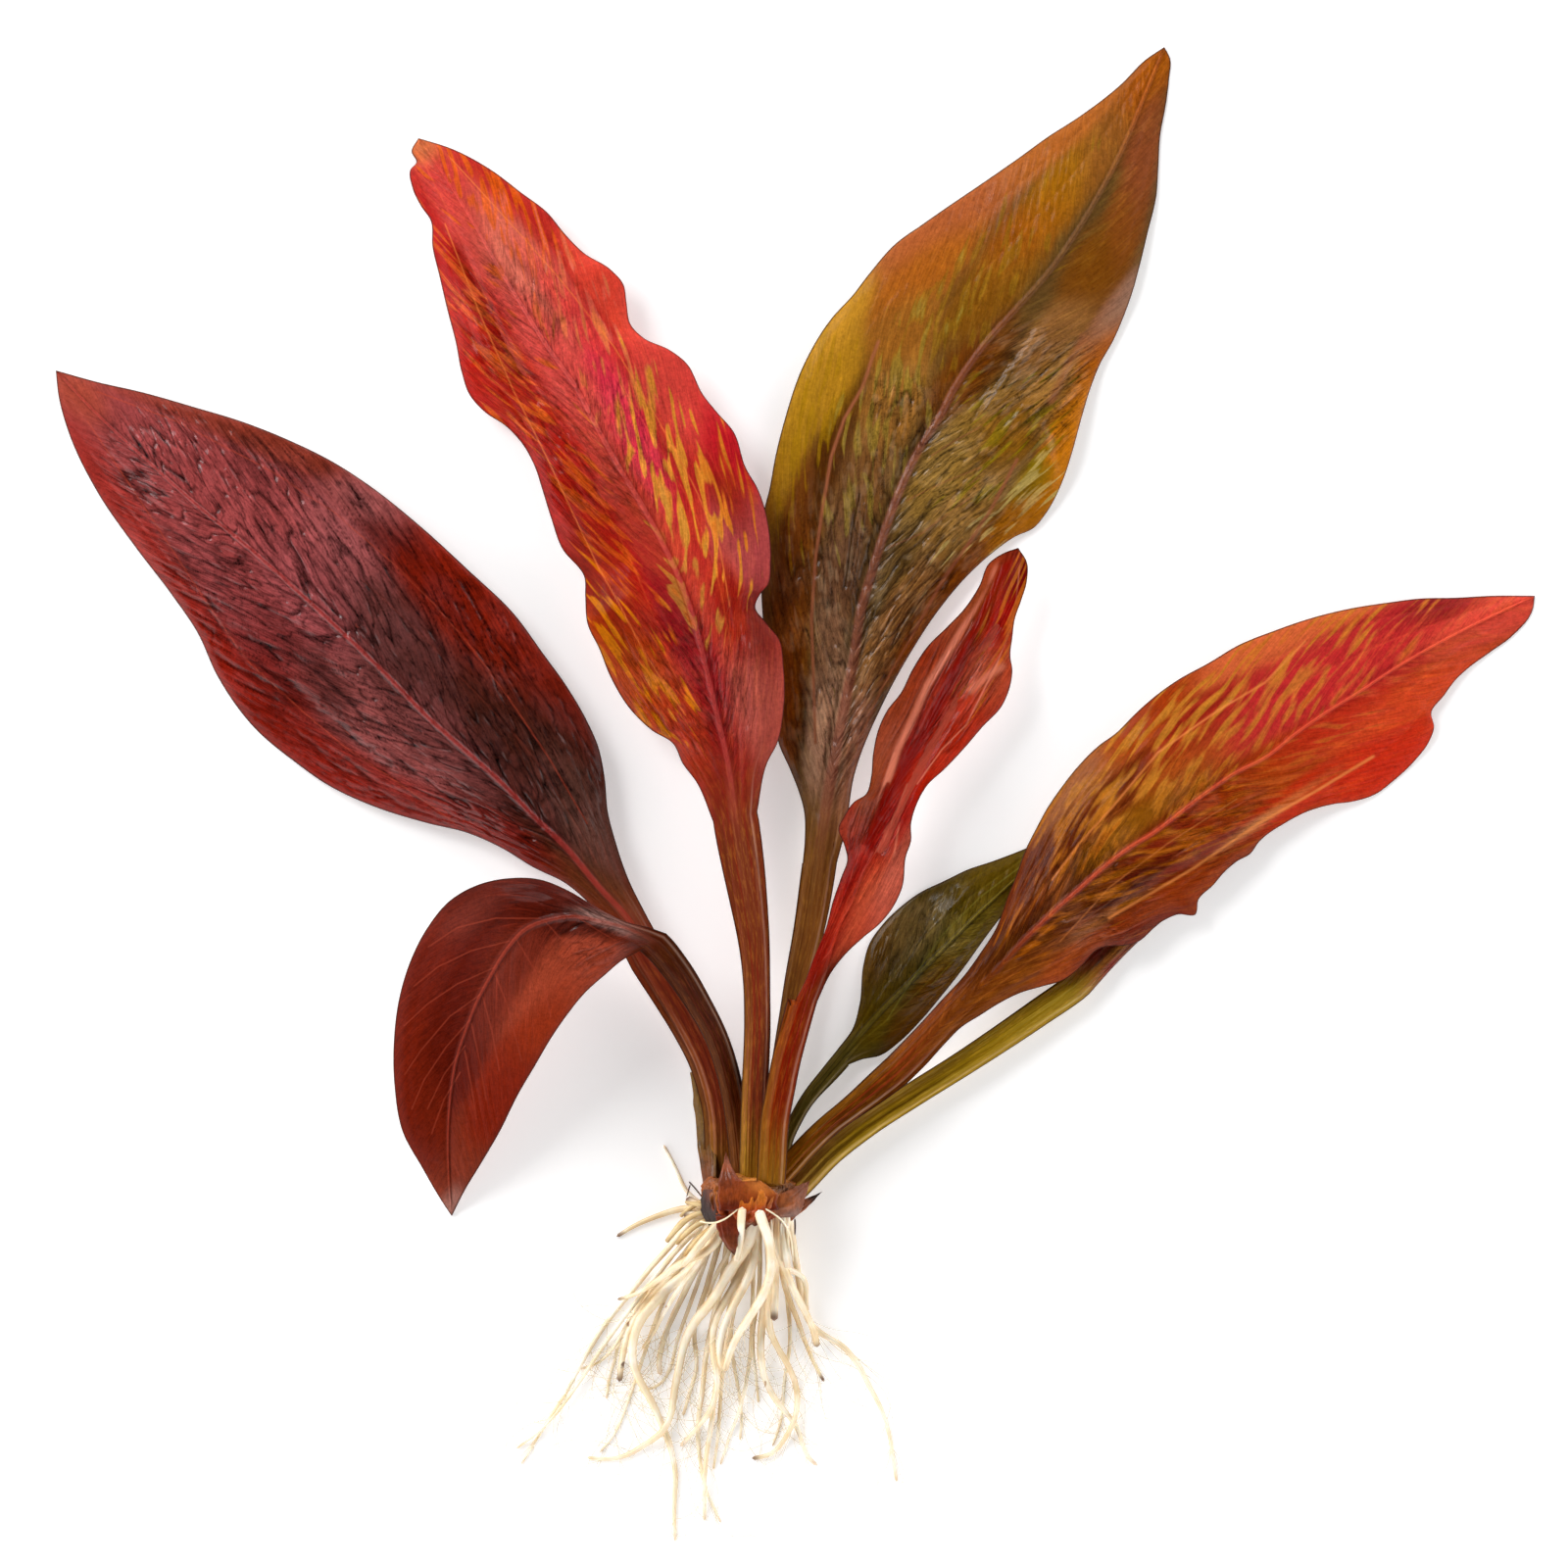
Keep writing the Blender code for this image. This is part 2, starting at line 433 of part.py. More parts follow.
def flowing(points, fractions):
    """The points at these fractions of the length of a smooth curve through the points."""
    knots = distances(points)
    spans = np.diff(knots)[:, None]
    slopes = np.diff(points, axis=0) / spans
    inner = (slopes[:-1] * spans[1:] + slopes[1:] * spans[:-1]) / (spans[1:] + spans[:-1])
    tangents = np.concatenate([slopes[:1], inner, slopes[-1:]])
    where = np.asarray(fractions) * knots[-1]
    index = np.clip(np.searchsorted(knots, where, side="right") - 1, 0, len(spans) - 1)
    span = spans[index]
    t = (where[:, None] - knots[index][:, None]) / span
    return (
        points[index] * (2 * t**3 - 3 * t**2 + 1)
        + tangents[index] * span * (t**3 - 2 * t**2 + t)
        + points[index + 1] * (3 * t**2 - 2 * t**3)
        + tangents[index + 1] * span * (t**3 - t**2)
    )


def eased(t):
    """0 to 1 with a soft start and end."""
    t = np.clip(t, 0.0, 1.0)
    return t * t * (3 - 2 * t)


def to_the_left(line):
    """At each point of a line, the level direction that is square to it on its left."""
    along = np.gradient(line, axis=0)
    across = np.stack([-along[:, 1], along[:, 0], np.zeros(len(line))], axis=1)
    return across / np.linalg.norm(across, axis=1)[:, None]


def reach(margin, middle):
    """How far a margin lies from the midrib, seen from above."""
    return np.linalg.norm((margin - middle)[..., :2], axis=-1)


def finish(name, colour, roughness):
    """A plain Principled material."""
    made = bpy.data.materials.new(name)
    made.use_nodes = True
    shader = made.node_tree.nodes["Principled BSDF"]
    shader.inputs["Base Color"].default_value = (*colour, 1.0)
    shader.inputs["Roughness"].default_value = roughness
    shader.inputs["Metallic"].default_value = 0.0
    return made


def add_piece(name, data, material):
    """A named object in the plant's collection."""
    data.materials.append(material)
    piece = bpy.data.objects.new(name, data)
    PARTS.objects.link(piece)


def mesh_data(name, shape):
    """The finished mesh of a bmesh, shaded smooth."""
    data = bpy.data.meshes.new(name)
    shape.to_mesh(data)
    shape.free()
    data.shade_smooth()
    return data


def loft(name, rings, tip, material):
    """A closed solid through rings of points, flat at its first ring and pointed at its tip."""
    shape = bmesh.new()
    loops = [[shape.verts.new(point) for point in ring] for ring in rings]
    for lower, upper in zip(loops, loops[1:]):
        for i in range(len(lower)):
            j = (i + 1) % len(lower)
            shape.faces.new((lower[i], lower[j], upper[j], upper[i]))
    shape.faces.new(reversed(loops[0]))
    point = shape.verts.new(tip)
    last = loops[-1]
    for i in range(len(last)):
        shape.faces.new((last[i], last[(i + 1) % len(last)], point))
    bmesh.ops.recalc_face_normals(shape, faces=shape.faces)
    add_piece(name, mesh_data(name, shape), material)


def leaf_section(left, middle, right, rib, depth, puff, flatness):
    """The ring of points round a section of a leaf: an oval petiole at flatness 0, a ribbed blade at 1."""
    outline = []
    for margin, order in ((left, 1), (right, -1)):
        half_width = reach(margin, middle)
        rib_share = min(rib / half_width, 1.0)
        shares = [
            petiole * (1 - flatness) + (rib_share + (1 - rib_share) * blade) * flatness
            for petiole, blade in zip(PETIOLE_SHARES, BLADE_SHARES)
        ]
        outline += [(margin, share, share * half_width / rib) for share in shares][::order]
    outline.insert(len(PETIOLE_SHARES), (middle, 0.0, 0.0))
    over, under = [], []
    for margin, share, ribs_out in outline:
        place = middle + (margin - middle) * share
        skin = BLADE_THICKNESS / 2 if share < 1.0 else 0.0
        rib_here = depth * math.sqrt(max(0.0, 1 - ribs_out**2))
        lift = puff * math.sin(math.pi * share)
        over.append(place + (0, 0, lift + skin + rib_here * PETIOLE_ROUND * (1 - flatness)))
        under.append(place + (0, 0, lift - skin - rib_here))
    return over + under[-2:0:-1]


def leaf(name, shape):
    """One leaf, from the foot of its petiole to its tip."""
    petiole_stations, blade_stations = shape["stations"]
    line = placed(shape["petiole"] + shape["midrib"])
    blade_start = distances(line)[len(shape["petiole"])] / distances(line)[-1]
    petiole_at = np.linspace(0.0, blade_start, petiole_stations, endpoint=False)
    blade_at = np.linspace(0.0, 1.0, blade_stations, endpoint=False)
    middle = flowing(line, np.concatenate([petiole_at, blade_start + blade_at * (1 - blade_start)]))
    petiole = middle[:petiole_stations]
    across = to_the_left(middle)[:petiole_stations]
    widening = eased(petiole_at / blade_start * 2 - 1)
    margins = []
    for side, direction in (("left", 1), ("right", -1)):
        blade_margin = flowing(placed(shape[side]), blade_at)
        blade_foot = reach(blade_margin[0], middle[petiole_stations])
        foot = shape[f"foot_{side}"] * MM
        half_widths = foot * (1 - widening) + blade_foot * widening
        margins.append(np.concatenate([petiole + direction * across * half_widths[:, None], blade_margin]))
    left, right = margins
    foot_rib = min(shape["foot_left"], shape["foot_right"]) * MM
    foot_depth, tip_depth = shape["rib_depth"]
    rings = []
    for i, place in enumerate(middle):
        into_blade = max(0.0, (i - petiole_stations) / blade_stations)
        half_width = min(reach(left[i], place), reach(right[i], place))
        rib = min(foot_rib * (1 - 0.75 * into_blade), half_width)
        depth = (foot_depth + (tip_depth - foot_depth) * eased(1.4 * into_blade)) * MM
        flatness = eased((half_width / rib - 1.1) / 1.2)
        fullness = math.sin(math.pi * min(1.0, into_blade + 0.12)) ** 0.7
        puff = shape["puff"] * MM * flatness * fullness
        rings.append(leaf_section(left[i], place, right[i], rib, depth, puff, flatness))
    tip = placed(shape["midrib"][-1:])[0]
    loft(name, rings, tip, finish(name, shape["colour"], 0.35))


def sheath(name, shape, material):
    """A scrap of dry sheath: a thin shell, arched across, that comes to a point."""
    line = flowing(placed(shape["line"]), np.linspace(0.0, 0.9, SHEATH_STATIONS))
    widths = np.interp(np.linspace(0.0, 1.0, SHEATH_STATIONS), (0.0, 0.5, 1.0), shape["half_widths"]) * MM
    skin = np.array([0.0, 0.0, BLADE_THICKNESS])
    rings = []
    for middle, side, half_width in zip(line, to_the_left(line), widths):
        left, right = middle + side * half_width, middle - side * half_width
        top = middle + (0, 0, SHEATH_ARCH * half_width)
        rings.append([left, top, right, right - skin, top - skin, left - skin])
    loft(name, rings, placed(shape["line"][-1:])[0], material)


def crown():
    """The stock that everything grows from: blunt and slightly lumpy."""
    shape = bmesh.new()
    bmesh.ops.create_uvsphere(shape, u_segments=16, v_segments=10, radius=1.0)
    middle = np.array([*plan(*CROWN_PLACE), CROWN_HEIGHT / 2])
    half = np.array([CROWN_HALF_WIDTH, CROWN_HALF_DEPTH, CROWN_HEIGHT / 2])
    for vert in shape.verts:
        direction = np.array(vert.co)
        blunt = np.sign(direction) * np.abs(direction) ** CROWN_BLUNTNESS
        lump = 1 - CROWN_LUMP_HEIGHT * (1 + math.sin(CROWN_LUMPS * math.atan2(direction[2], direction[0])))
        vert.co = middle + blunt * half * (lump, 1.0, 1.0)
    add_piece("crown", mesh_data("crown", shape), finish("crown", CROWN_COLOUR, 0.6))


def resting_heights(course, radii, laid):
    """The heights at which a root rests on the surface and on the roots laid before it."""
    lowest = radii.copy()
    for other, other_radii in laid:
        apart = np.linalg.norm(course[:, None, :] - other[None, :, :2], axis=2)
        touching = radii[:, None] + other_radii[None, :] + ROOT_CLEARANCE
        over = other[None, :, 2] + np.sqrt(np.maximum(touching**2 - apart**2, 0.0))
        lowest = np.maximum(lowest, np.where(apart < touching, over, 0.0).max(axis=1))
    along = distances(course)
    away = np.abs(along[:, None] - along[None, :])
    return (lowest[None, :] - STEEPEST_ROOT * away).max(axis=1)


def laid_roots():
    """The middle line and the radii of every root, laid one on another."""
    laid = []
    for (thick, thin), points in ROOTS:
        through = placed([(x, y, 0.0) for x, y in points])
        count = max(4, round(distances(through)[-1] / LAYING_STEP))
        course = flowing(through, np.linspace(0.0, 1.0, count))[:, :2]
        radii = np.linspace(thick, thin, count) * MM / 2
        laid.append((np.column_stack([course, resting_heights(course, radii, laid)]), radii))
    return laid


def root(name, course, radii, material):
    """A tapering root: a curve with a round bevel."""
    count = max(4, round(distances(course)[-1] / ROOT_STEP) + 1)
    fractions = np.linspace(0.0, 1.0, count)
    data = bpy.data.curves.new(name, "CURVE")
    data.dimensions = "3D"
    data.bevel_depth = 1.0
    data.bevel_resolution = 1
    data.use_fill_caps = True
    spline = data.splines.new("POLY")
    spline.points.add(count - 1)
    places = flowing(course, fractions)
    widths = np.interp(fractions, np.linspace(0.0, 1.0, len(radii)), radii)
    for point, place, width in zip(spline.points, places, widths):
        point.co = (*place, 1.0)
        point.radius = width
    add_piece(name, data, material)


for old in list(bpy.data.objects):
    bpy.data.objects.remove(old)
PARTS = bpy.data.collections.new("amazon_sword_plant")
bpy.context.scene.collection.children.link(PARTS)

crown()
for leaf_name, leaf_shape in LEAVES.items():
    leaf(leaf_name, leaf_shape)
sheath_finish = finish("sheath", SHEATH_COLOUR, 0.7)
for sheath_name, sheath_shape in SHEATHS.items():
    sheath(sheath_name, sheath_shape, sheath_finish)
root_finish = finish("root", ROOT_COLOUR, 0.5)
for number, (root_course, root_radii) in enumerate(laid_roots(), start=1):
    root(f"root_{number:02d}", root_course, root_radii, root_finish)
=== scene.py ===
# %% [markdown]
# An amazon sword plant, picked bare-rooted and laid flat: eight leaves, a short
# crown and a tuft of roots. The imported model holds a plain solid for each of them.
# Each is dressed here with a finer mesh that keeps its place and its outline.

# %% Load the plain model
import math

import bmesh
import bpy
import numpy as np
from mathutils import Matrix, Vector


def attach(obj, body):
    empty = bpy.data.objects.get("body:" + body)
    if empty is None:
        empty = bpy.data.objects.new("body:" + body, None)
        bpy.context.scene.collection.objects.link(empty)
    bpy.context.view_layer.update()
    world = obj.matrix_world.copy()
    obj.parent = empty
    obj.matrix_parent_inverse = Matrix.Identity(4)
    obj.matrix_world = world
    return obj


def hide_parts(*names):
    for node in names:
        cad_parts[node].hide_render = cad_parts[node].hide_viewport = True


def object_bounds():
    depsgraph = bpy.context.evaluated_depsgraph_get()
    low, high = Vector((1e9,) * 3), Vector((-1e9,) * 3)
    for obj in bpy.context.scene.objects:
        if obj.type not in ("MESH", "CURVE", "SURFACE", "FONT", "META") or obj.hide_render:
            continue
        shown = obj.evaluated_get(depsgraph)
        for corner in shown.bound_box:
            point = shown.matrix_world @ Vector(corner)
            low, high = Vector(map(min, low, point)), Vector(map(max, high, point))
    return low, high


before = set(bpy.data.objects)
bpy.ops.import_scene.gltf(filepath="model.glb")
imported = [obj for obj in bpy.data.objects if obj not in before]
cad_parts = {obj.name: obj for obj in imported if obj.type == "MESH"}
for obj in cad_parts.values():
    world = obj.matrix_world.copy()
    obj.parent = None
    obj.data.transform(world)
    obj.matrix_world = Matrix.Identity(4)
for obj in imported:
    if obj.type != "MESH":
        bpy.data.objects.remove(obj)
CAD_BOX = [list(corner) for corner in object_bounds()]
print("solids:", len(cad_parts))

# %% [markdown]
# Every place on this plant was read from a picture taken from straight above, so
# its places are picture pixels, y down, and its heights are millimetres. One scale
# turns both into metres. The roots run down the picture and the leaves up it.

# %% Scale and place
MM = 0.001
PLANT_LENGTH = 259.5 * MM
TOP_PIXEL = 48
BOTTOM_PIXEL = 1574
LEFT_PIXEL = 56
RIGHT_PIXEL = 1566
PIXEL = PLANT_LENGTH / (BOTTOM_PIXEL - TOP_PIXEL)
MIDDLE_X = (LEFT_PIXEL + RIGHT_PIXEL) / 2
MIDDLE_Y = (TOP_PIXEL + BOTTOM_PIXEL) / 2


def plan(x, y):
    """The place in metres of a picture pixel."""
    return (x - MIDDLE_X) * PIXEL, (MIDDLE_Y - y) * PIXEL


def placed(run):
    """Points in metres, from one run of numbers: x pixel, y pixel and height in mm for each."""
    return np.array([(*plan(x, y), height * MM) for x, y, height in np.reshape(run, (-1, 3))])


def traced(run):
    """Level points in metres, from one run of numbers: x pixel and y pixel for each."""
    return np.array([plan(x, y) for x, y in np.reshape(run, (-1, 2))])


print("one pixel is", round(PIXEL / MM, 4), "mm")

# %% [markdown]
# A leaf is known by three lines: its petiole and midrib, and the margin on each
# side of the blade. The lists are the ones that its plain solid has, from the crown
# to the tip, so that the fine leaf lies where the plain one lies.

# %% The leaves' lines
# Left and right are those of someone who walks out along the midrib. Each line is a
# run of x pixel, y pixel and height in mm. Foot widths, rib depths and puff are in mm.
LEAVES = {
    "leaf_wine": {
        "petiole": (738,1190,3.4, 735,1130,4.2, 723,1085,5.0, 705,1046,5.8, 685,1010,6.5),
        "midrib": (
            662,972,7.2, 643,939,7.6, 613,906,7.8, 579,865,7.8, 545,832,7.8, 512,798,7.8, 474,764,7.8,
            437,731,7.8, 397,690,7.6, 333,629,7.2, 262,565,6.6, 198,512,5.6, 151,470,4.2, 101,424,2.4,
            57,378,0.2,
        ),
        "left": (
            640,978,6.8, 622,948,6.2, 599,919,5.4, 579,902,5.0, 545,885,4.4, 512,865,4.0, 478,850,3.6,
            437,840,3.0, 377,821,2.2, 333,800,1.3, 303,779,0.7, 259,742,0.2, 222,690,0.4, 202,646,1.1,
            175,606,1.5, 139,559,1.0, 100,503,0.4, 70,441,0.2, 60,405,0.2, 57,378,0.2,
        ),
        "right": (
            676,962,7.0, 658,929,6.6, 643,899,6.0, 629,859,5.4, 621,828,5.0, 618,795,4.8, 611,761,4.8,
            599,734,5.0, 579,700,5.0, 556,668,4.6, 525,626,4.4, 478,581,4.6, 431,538,5.0, 377,495,5.0,
            343,473,4.6, 299,451,3.8, 249,431,3.0, 200,416,2.0, 144,400,1.0, 100,390,0.5, 57,378,0.2,
        ),
        "foot_left": 3.2, "foot_right": 2.2, "rib_depth": (1.7, 0.25), "puff": 1.2,
    },
    "leaf_drooping": {
        "petiole": (757,1188,6.8, 752,1140,7.4, 744,1096,9.2, 733,1060,12.0, 713,1020,16.0, 692,986,19.6),
        "midrib": (
            668,958,22.4, 645,945,24.4, 618,938,25.6, 592,933,26.0, 565,936,25.4, 542,945,24.0, 520,968,21.4,
            504,994,18.8, 490,1020,16.4, 478,1050,13.8, 468,1080,11.4, 462,1115,9.0, 459,1155,6.4, 459,1200,3.2,
            461,1241,0.2,
        ),
        "left": (
            655,968,21.5, 638,977,22.4, 620,992,22.4, 600,1010,21.4, 582,1032,19.8, 566,1055,18.0,
            550,1082,15.6, 530,1116,12.6, 512,1152,9.4, 492,1186,6.2, 476,1212,3.4, 461,1241,0.2,
        ),
        "right": (
            664,944,23.0, 640,938,24.6, 612,924,25.0, 585,908,24.4, 555,896,23.0, 520,895,21.0, 490,902,19.0,
            462,918,16.8, 440,944,14.6, 422,978,12.6, 410,1016,10.8, 404,1060,9.0, 404,1105,7.0, 412,1154,4.8,
            432,1192,2.8, 450,1224,1.0, 461,1241,0.2,
        ),
        "foot_left": 2.0, "foot_right": 2.0, "rib_depth": (1.6, 0.25), "puff": 0.8,
    },
    "leaf_red": {
        "petiole": (768,1188,10.5, 770,1120,10.8, 773,1040,11.0, 770,965,11.0, 762,905,11.0),
        "midrib": (
            751,836,10.8, 743,779,10.6, 733,734,10.4, 722,688,10.2, 711,643,10.0, 696,597,9.8, 677,556,9.6,
            654,514,9.4, 631,476,9.2, 608,434,9.0, 586,393,8.6, 559,355,8.2, 533,313,7.4, 510,275,6.4,
            487,234,5.2, 464,196,3.8, 442,162,1.8, 427,141,0.2,
        ),
        "left": (
            728,838,10.4, 711,798,10.0, 697,779,9.6, 688,760,8.6, 665,745,7.0, 642,722,6.0, 624,692,6.6,
            612,662,8.0, 601,639,8.6, 598,609,6.8, 597,590,5.4, 574,560,5.0, 563,529,6.4, 555,503,7.0,
            546,476,6.0, 533,453,4.6, 517,436,3.8, 495,421,3.6, 480,404,4.4, 472,381,5.0, 466,351,4.0,
            457,317,2.8, 449,283,2.4, 442,253,2.8, 440,226,2.2, 430,211,1.4, 421,192,0.7, 419,173,0.5,
            425,166,0.6, 420,155,0.4, 427,141,0.2,
        ),
        "right": (
            773,828,10.4, 783,779,10.6, 794,757,10.8, 800,726,11.0, 800,681,10.6, 796,654,10.0, 783,637,9.0,
            771,620,8.4, 777,606,9.0, 784,598,9.8, 787,575,10.4, 786,548,10.0, 773,499,8.8, 762,480,8.6,
            749,442,8.2, 733,423,7.0, 718,404,6.0, 701,372,6.6, 684,359,7.6, 658,347,7.4, 644,332,6.0,
            640,310,5.2, 637,292,5.6, 624,277,6.2, 597,260,5.4, 578,241,4.4, 559,218,4.0, 533,198,3.2,
            500,173,2.0, 461,152,0.8, 427,141,0.2,
        ),
        "foot_left": 2.3, "foot_right": 2.3, "rib_depth": (1.8, 0.25), "puff": 1.4,
    },
    "leaf_olive": {
        "petiole": (783,1188,4.4, 793,1130,4.9, 804,1060,4.9, 814,1000,4.8, 825,945,4.8),
        "midrib": (
            835,878,4.9, 841,835,4.8, 850,780,4.7, 859,733,4.6, 870,679,4.5, 878,625,4.4, 891,579,4.4,
            903,541,4.5, 920,496,4.7, 936,462,4.9, 957,429,5.1, 974,396,5.2, 1003,354,5.2, 1036,317,5.0,
            1069,280,4.8, 1103,230,4.2, 1144,155,3.0, 1165,105,1.6, 1188,48,0.2,
        ),
        "left": (
            819,880,4.6, 821,858,4.4, 820,826,4.0, 815,808,3.6, 806,785,3.2, 795,760,2.6, 788,720,2.0,
            782,680,1.6, 779,640,1.6, 777,610,1.8, 778,565,1.8, 780,520,1.8, 785,500,1.9, 791,467,2.2,
            800,431,2.6, 820,373,3.0, 849,325,3.0, 870,302,2.6, 886,281,2.2, 915,248,1.2, 940,230,0.6,
            970,209,0.3, 1001,188,0.3, 1040,161,0.6, 1069,140,0.7, 1100,120,0.4, 1144,86,0.2, 1169,61,0.2,
            1188,48,0.2,
        ),
        "right": (
            854,880,4.7, 862,850,4.4, 872,790,4.0, 900,720,3.4, 930,665,3.0, 960,620,2.6, 990,585,2.2,
            1011,566,1.8, 1036,548,1.0, 1055,539,0.7, 1067,525,0.9, 1078,506,1.5, 1086,487,2.2, 1094,462,2.6,
            1103,429,2.4, 1113,396,1.7, 1123,371,1.2, 1136,348,1.0, 1146,325,1.2, 1155,300,1.6, 1163,271,1.6,
            1171,238,1.2, 1180,200,0.6, 1182,171,0.4, 1184,138,0.4, 1190,105,0.3, 1193,80,0.2, 1194,60,0.2,
            1188,48,0.2,
        ),
        "foot_left": 2.2, "foot_right": 2.2, "rib_depth": (1.7, 0.25), "puff": 1.3,
    },
    "leaf_young": {
        "petiole": (788,1186,14.0, 791,1140,13.6, 796,1112,13.2, 803,1080,12.8, 812,1050,12.4),
        "midrib": (
            822,1017,11.8, 830,991,11.2, 842,958,10.8, 857,923,10.4, 871,888,10.0, 886,852,9.8, 904,814,9.6,
            921,785,9.4, 945,746,9.2, 966,708,9.0, 986,673,8.8, 1007,637,8.4, 1022,599,7.8, 1032,575,7.3,
            1038,560,7.0,
        ),
        "left": (
            807,1026,12.4, 821,1000,12.4, 830,976,12.4, 842,947,12.6, 849,920,12.6, 858,894,12.4, 864,876,12.0,
            861,862,11.6, 855,845,11.4, 861,832,11.8, 871,818,12.4, 883,810,12.8, 888,793,13.0, 890,770,13.2,
            896,743,13.0, 904,726,12.6, 918,708,12.4, 930,684,12.0, 945,661,11.4, 966,640,10.6, 983,622,10.0,
            998,599,9.2, 1008,576,8.2, 1024,565,7.4, 1038,560,7.0,
        ),
        "right": (
            834,1020,11.8, 848,991,11.4, 862,973,11.2, 880,956,11.2, 898,941,11.0, 910,926,10.6, 920,905,10.0,
            924,873,9.4, 929,858,9.4, 929,841,9.6, 935,820,9.8, 945,802,9.6, 963,785,9.0, 983,764,8.2,
            1001,743,7.6, 1022,720,7.2, 1030,700,7.4, 1032,684,7.6, 1030,670,7.4, 1032,652,7.0, 1035,631,6.8,
            1041,614,6.8, 1047,593,6.8, 1047,575,6.8, 1038,560,7.0,
        ),
        "foot_left": 2.5, "foot_right": 2.5, "rib_depth": (1.6, 0.2), "puff": 0.5,
    },
    "leaf_green": {
        "petiole": (800,1190,1.4, 802,1165,1.5, 813,1140,1.7, 826,1118,2.0, 842,1098,2.3),
        "midrib": (
            860,1076,2.4, 880,1052,2.6, 900,1030,2.8, 925,1005,3.0, 950,980,3.0, 975,955,3.0, 1000,930,2.8,
            1040,893,2.0, 1065,870,1.2, 1088,850,0.2,
        ),
        "left": (
            854,1071,2.2, 870,1049,1.8, 877,1024,1.2, 881,984,0.6, 887,963,0.3, 900,944,0.2, 917,927,0.2,
            940,910,0.4, 963,899,0.5, 988,887,0.5, 1012,879,0.4, 1041,868,0.3, 1065,858,0.2, 1088,850,0.2,
        ),
        "right": (
            866,1086,2.2, 879,1081,2.0, 898,1077,1.6, 918,1063,1.2, 940,1041,0.9, 961,1016,0.9, 986,984,1.1,
            1003,960,1.1, 1022,935,0.8, 1045,908,0.5, 1068,880,0.3, 1088,850,0.2,
        ),
        "foot_left": 1.2, "foot_right": 1.2, "rib_depth": (0.9, 0.15), "puff": 0.6,
    },
    "leaf_right": {
        "petiole": (806,1187,8.5, 825,1166,8.8, 845,1147,9.0, 870,1127,9.2, 893,1108,9.4),
        "midrib": (
            916,1088,9.5, 942,1062,9.6, 967,1036,9.6, 992,1012,9.6, 1020,984,9.5, 1043,959,9.4, 1072,931,9.2,
            1100,906,9.0, 1125,884,8.8, 1150,865,8.6, 1176,849,8.4, 1201,830,8.2, 1226,811,7.8, 1258,789,7.4,
            1289,773,7.0, 1321,748,6.6, 1353,726,6.0, 1384,707,5.4, 1422,682,4.6, 1460,660,3.6, 1498,640,2.6,
            1536,622,1.4, 1566,608,0.2,
        ),
        "left": (
            904,1078,9.2, 940,1041,9.2, 959,1020,9.0, 983,994,8.6, 999,972,8.0, 1015,947,7.4, 1027,915,6.8,
            1037,890,6.2, 1045,868,5.8, 1056,846,5.4, 1068,824,5.0, 1081,805,4.8, 1100,781,4.6, 1119,762,4.4,
            1138,748,4.2, 1157,729,4.0, 1176,712,3.8, 1201,694,3.4, 1232,677,3.0, 1264,658,2.8, 1299,644,2.8,
            1337,631,3.0, 1378,621,2.6, 1416,615,1.9, 1447,611,1.2, 1485,610,0.6, 1523,608,0.3, 1566,608,0.2,
        ),
        "right": (
            928,1101,9.2, 944,1085,9.2, 963,1064,9.0, 980,1047,8.8, 999,1035,8.4, 1020,1022,7.8, 1041,1012,7.2,
            1062,1006,6.6, 1085,999,6.2, 1104,984,6.0, 1117,970,5.8, 1160,961,5.0, 1185,940,4.6, 1201,933,4.4,
            1219,933,4.0, 1222,918,4.2, 1237,903,4.6, 1248,890,4.8, 1261,879,4.6, 1275,871,4.0, 1283,860,3.8,
            1312,839,3.4, 1334,828,2.8, 1359,821,1.8, 1381,818,1.0, 1403,811,0.4, 1422,797,0.3, 1444,776,0.5,
            1458,757,0.9, 1463,742,1.2, 1460,728,1.4, 1473,710,1.2, 1485,694,1.0, 1498,682,0.7, 1520,666,0.4,
            1542,650,0.3, 1564,622,0.2, 1566,608,0.2,
        ),
        "foot_left": 2.0, "foot_right": 2.0, "rib_depth": (1.6, 0.25), "puff": 1.2,
    },
    "leaf_under": {
        "petiole": (
            824,1200,4.2, 845,1178,4.2, 880,1150,4.0, 935,1114,3.8, 980,1086,3.6, 1020,1060,3.4, 1060,1033,3.1,
        ),
        "midrib": (
            1100,1005,2.8, 1132,975,2.5, 1165,940,2.4, 1200,900,2.3, 1235,860,2.1, 1270,822,1.6, 1300,790,1.0,
            1325,762,0.2,
        ),
        "left": (
            1089,994,2.6, 1108,966,2.2, 1125,930,1.5, 1150,885,1.0, 1185,840,0.8, 1225,805,0.6, 1265,785,0.5,
            1300,771,0.3, 1325,762,0.2,
        ),
        "right": (
            1111,1014,2.6, 1138,984,2.1, 1160,962,1.6, 1195,932,1.1, 1228,903,0.7, 1262,868,0.5, 1290,835,0.3,
            1312,800,0.2, 1325,762,0.2,
        ),
        "foot_left": 2.2, "foot_right": 2.2, "rib_depth": (1.6, 0.2), "puff": 0.5,
    },
}
print("leaves:", len(LEAVES))

# %% [markdown]
# A line of points is made smooth with a curve whose direction at each point is
# that of its neighbours. A point is then found by its share of the curve's length,
# which is also how the two margins are paired with the midrib.

# %% Lines through points
def distances(points):
    """How far along the line through the points each one lies."""
    steps = np.linalg.norm(np.diff(points, axis=0), axis=1)
    return np.concatenate([[0.0], np.cumsum(steps)])


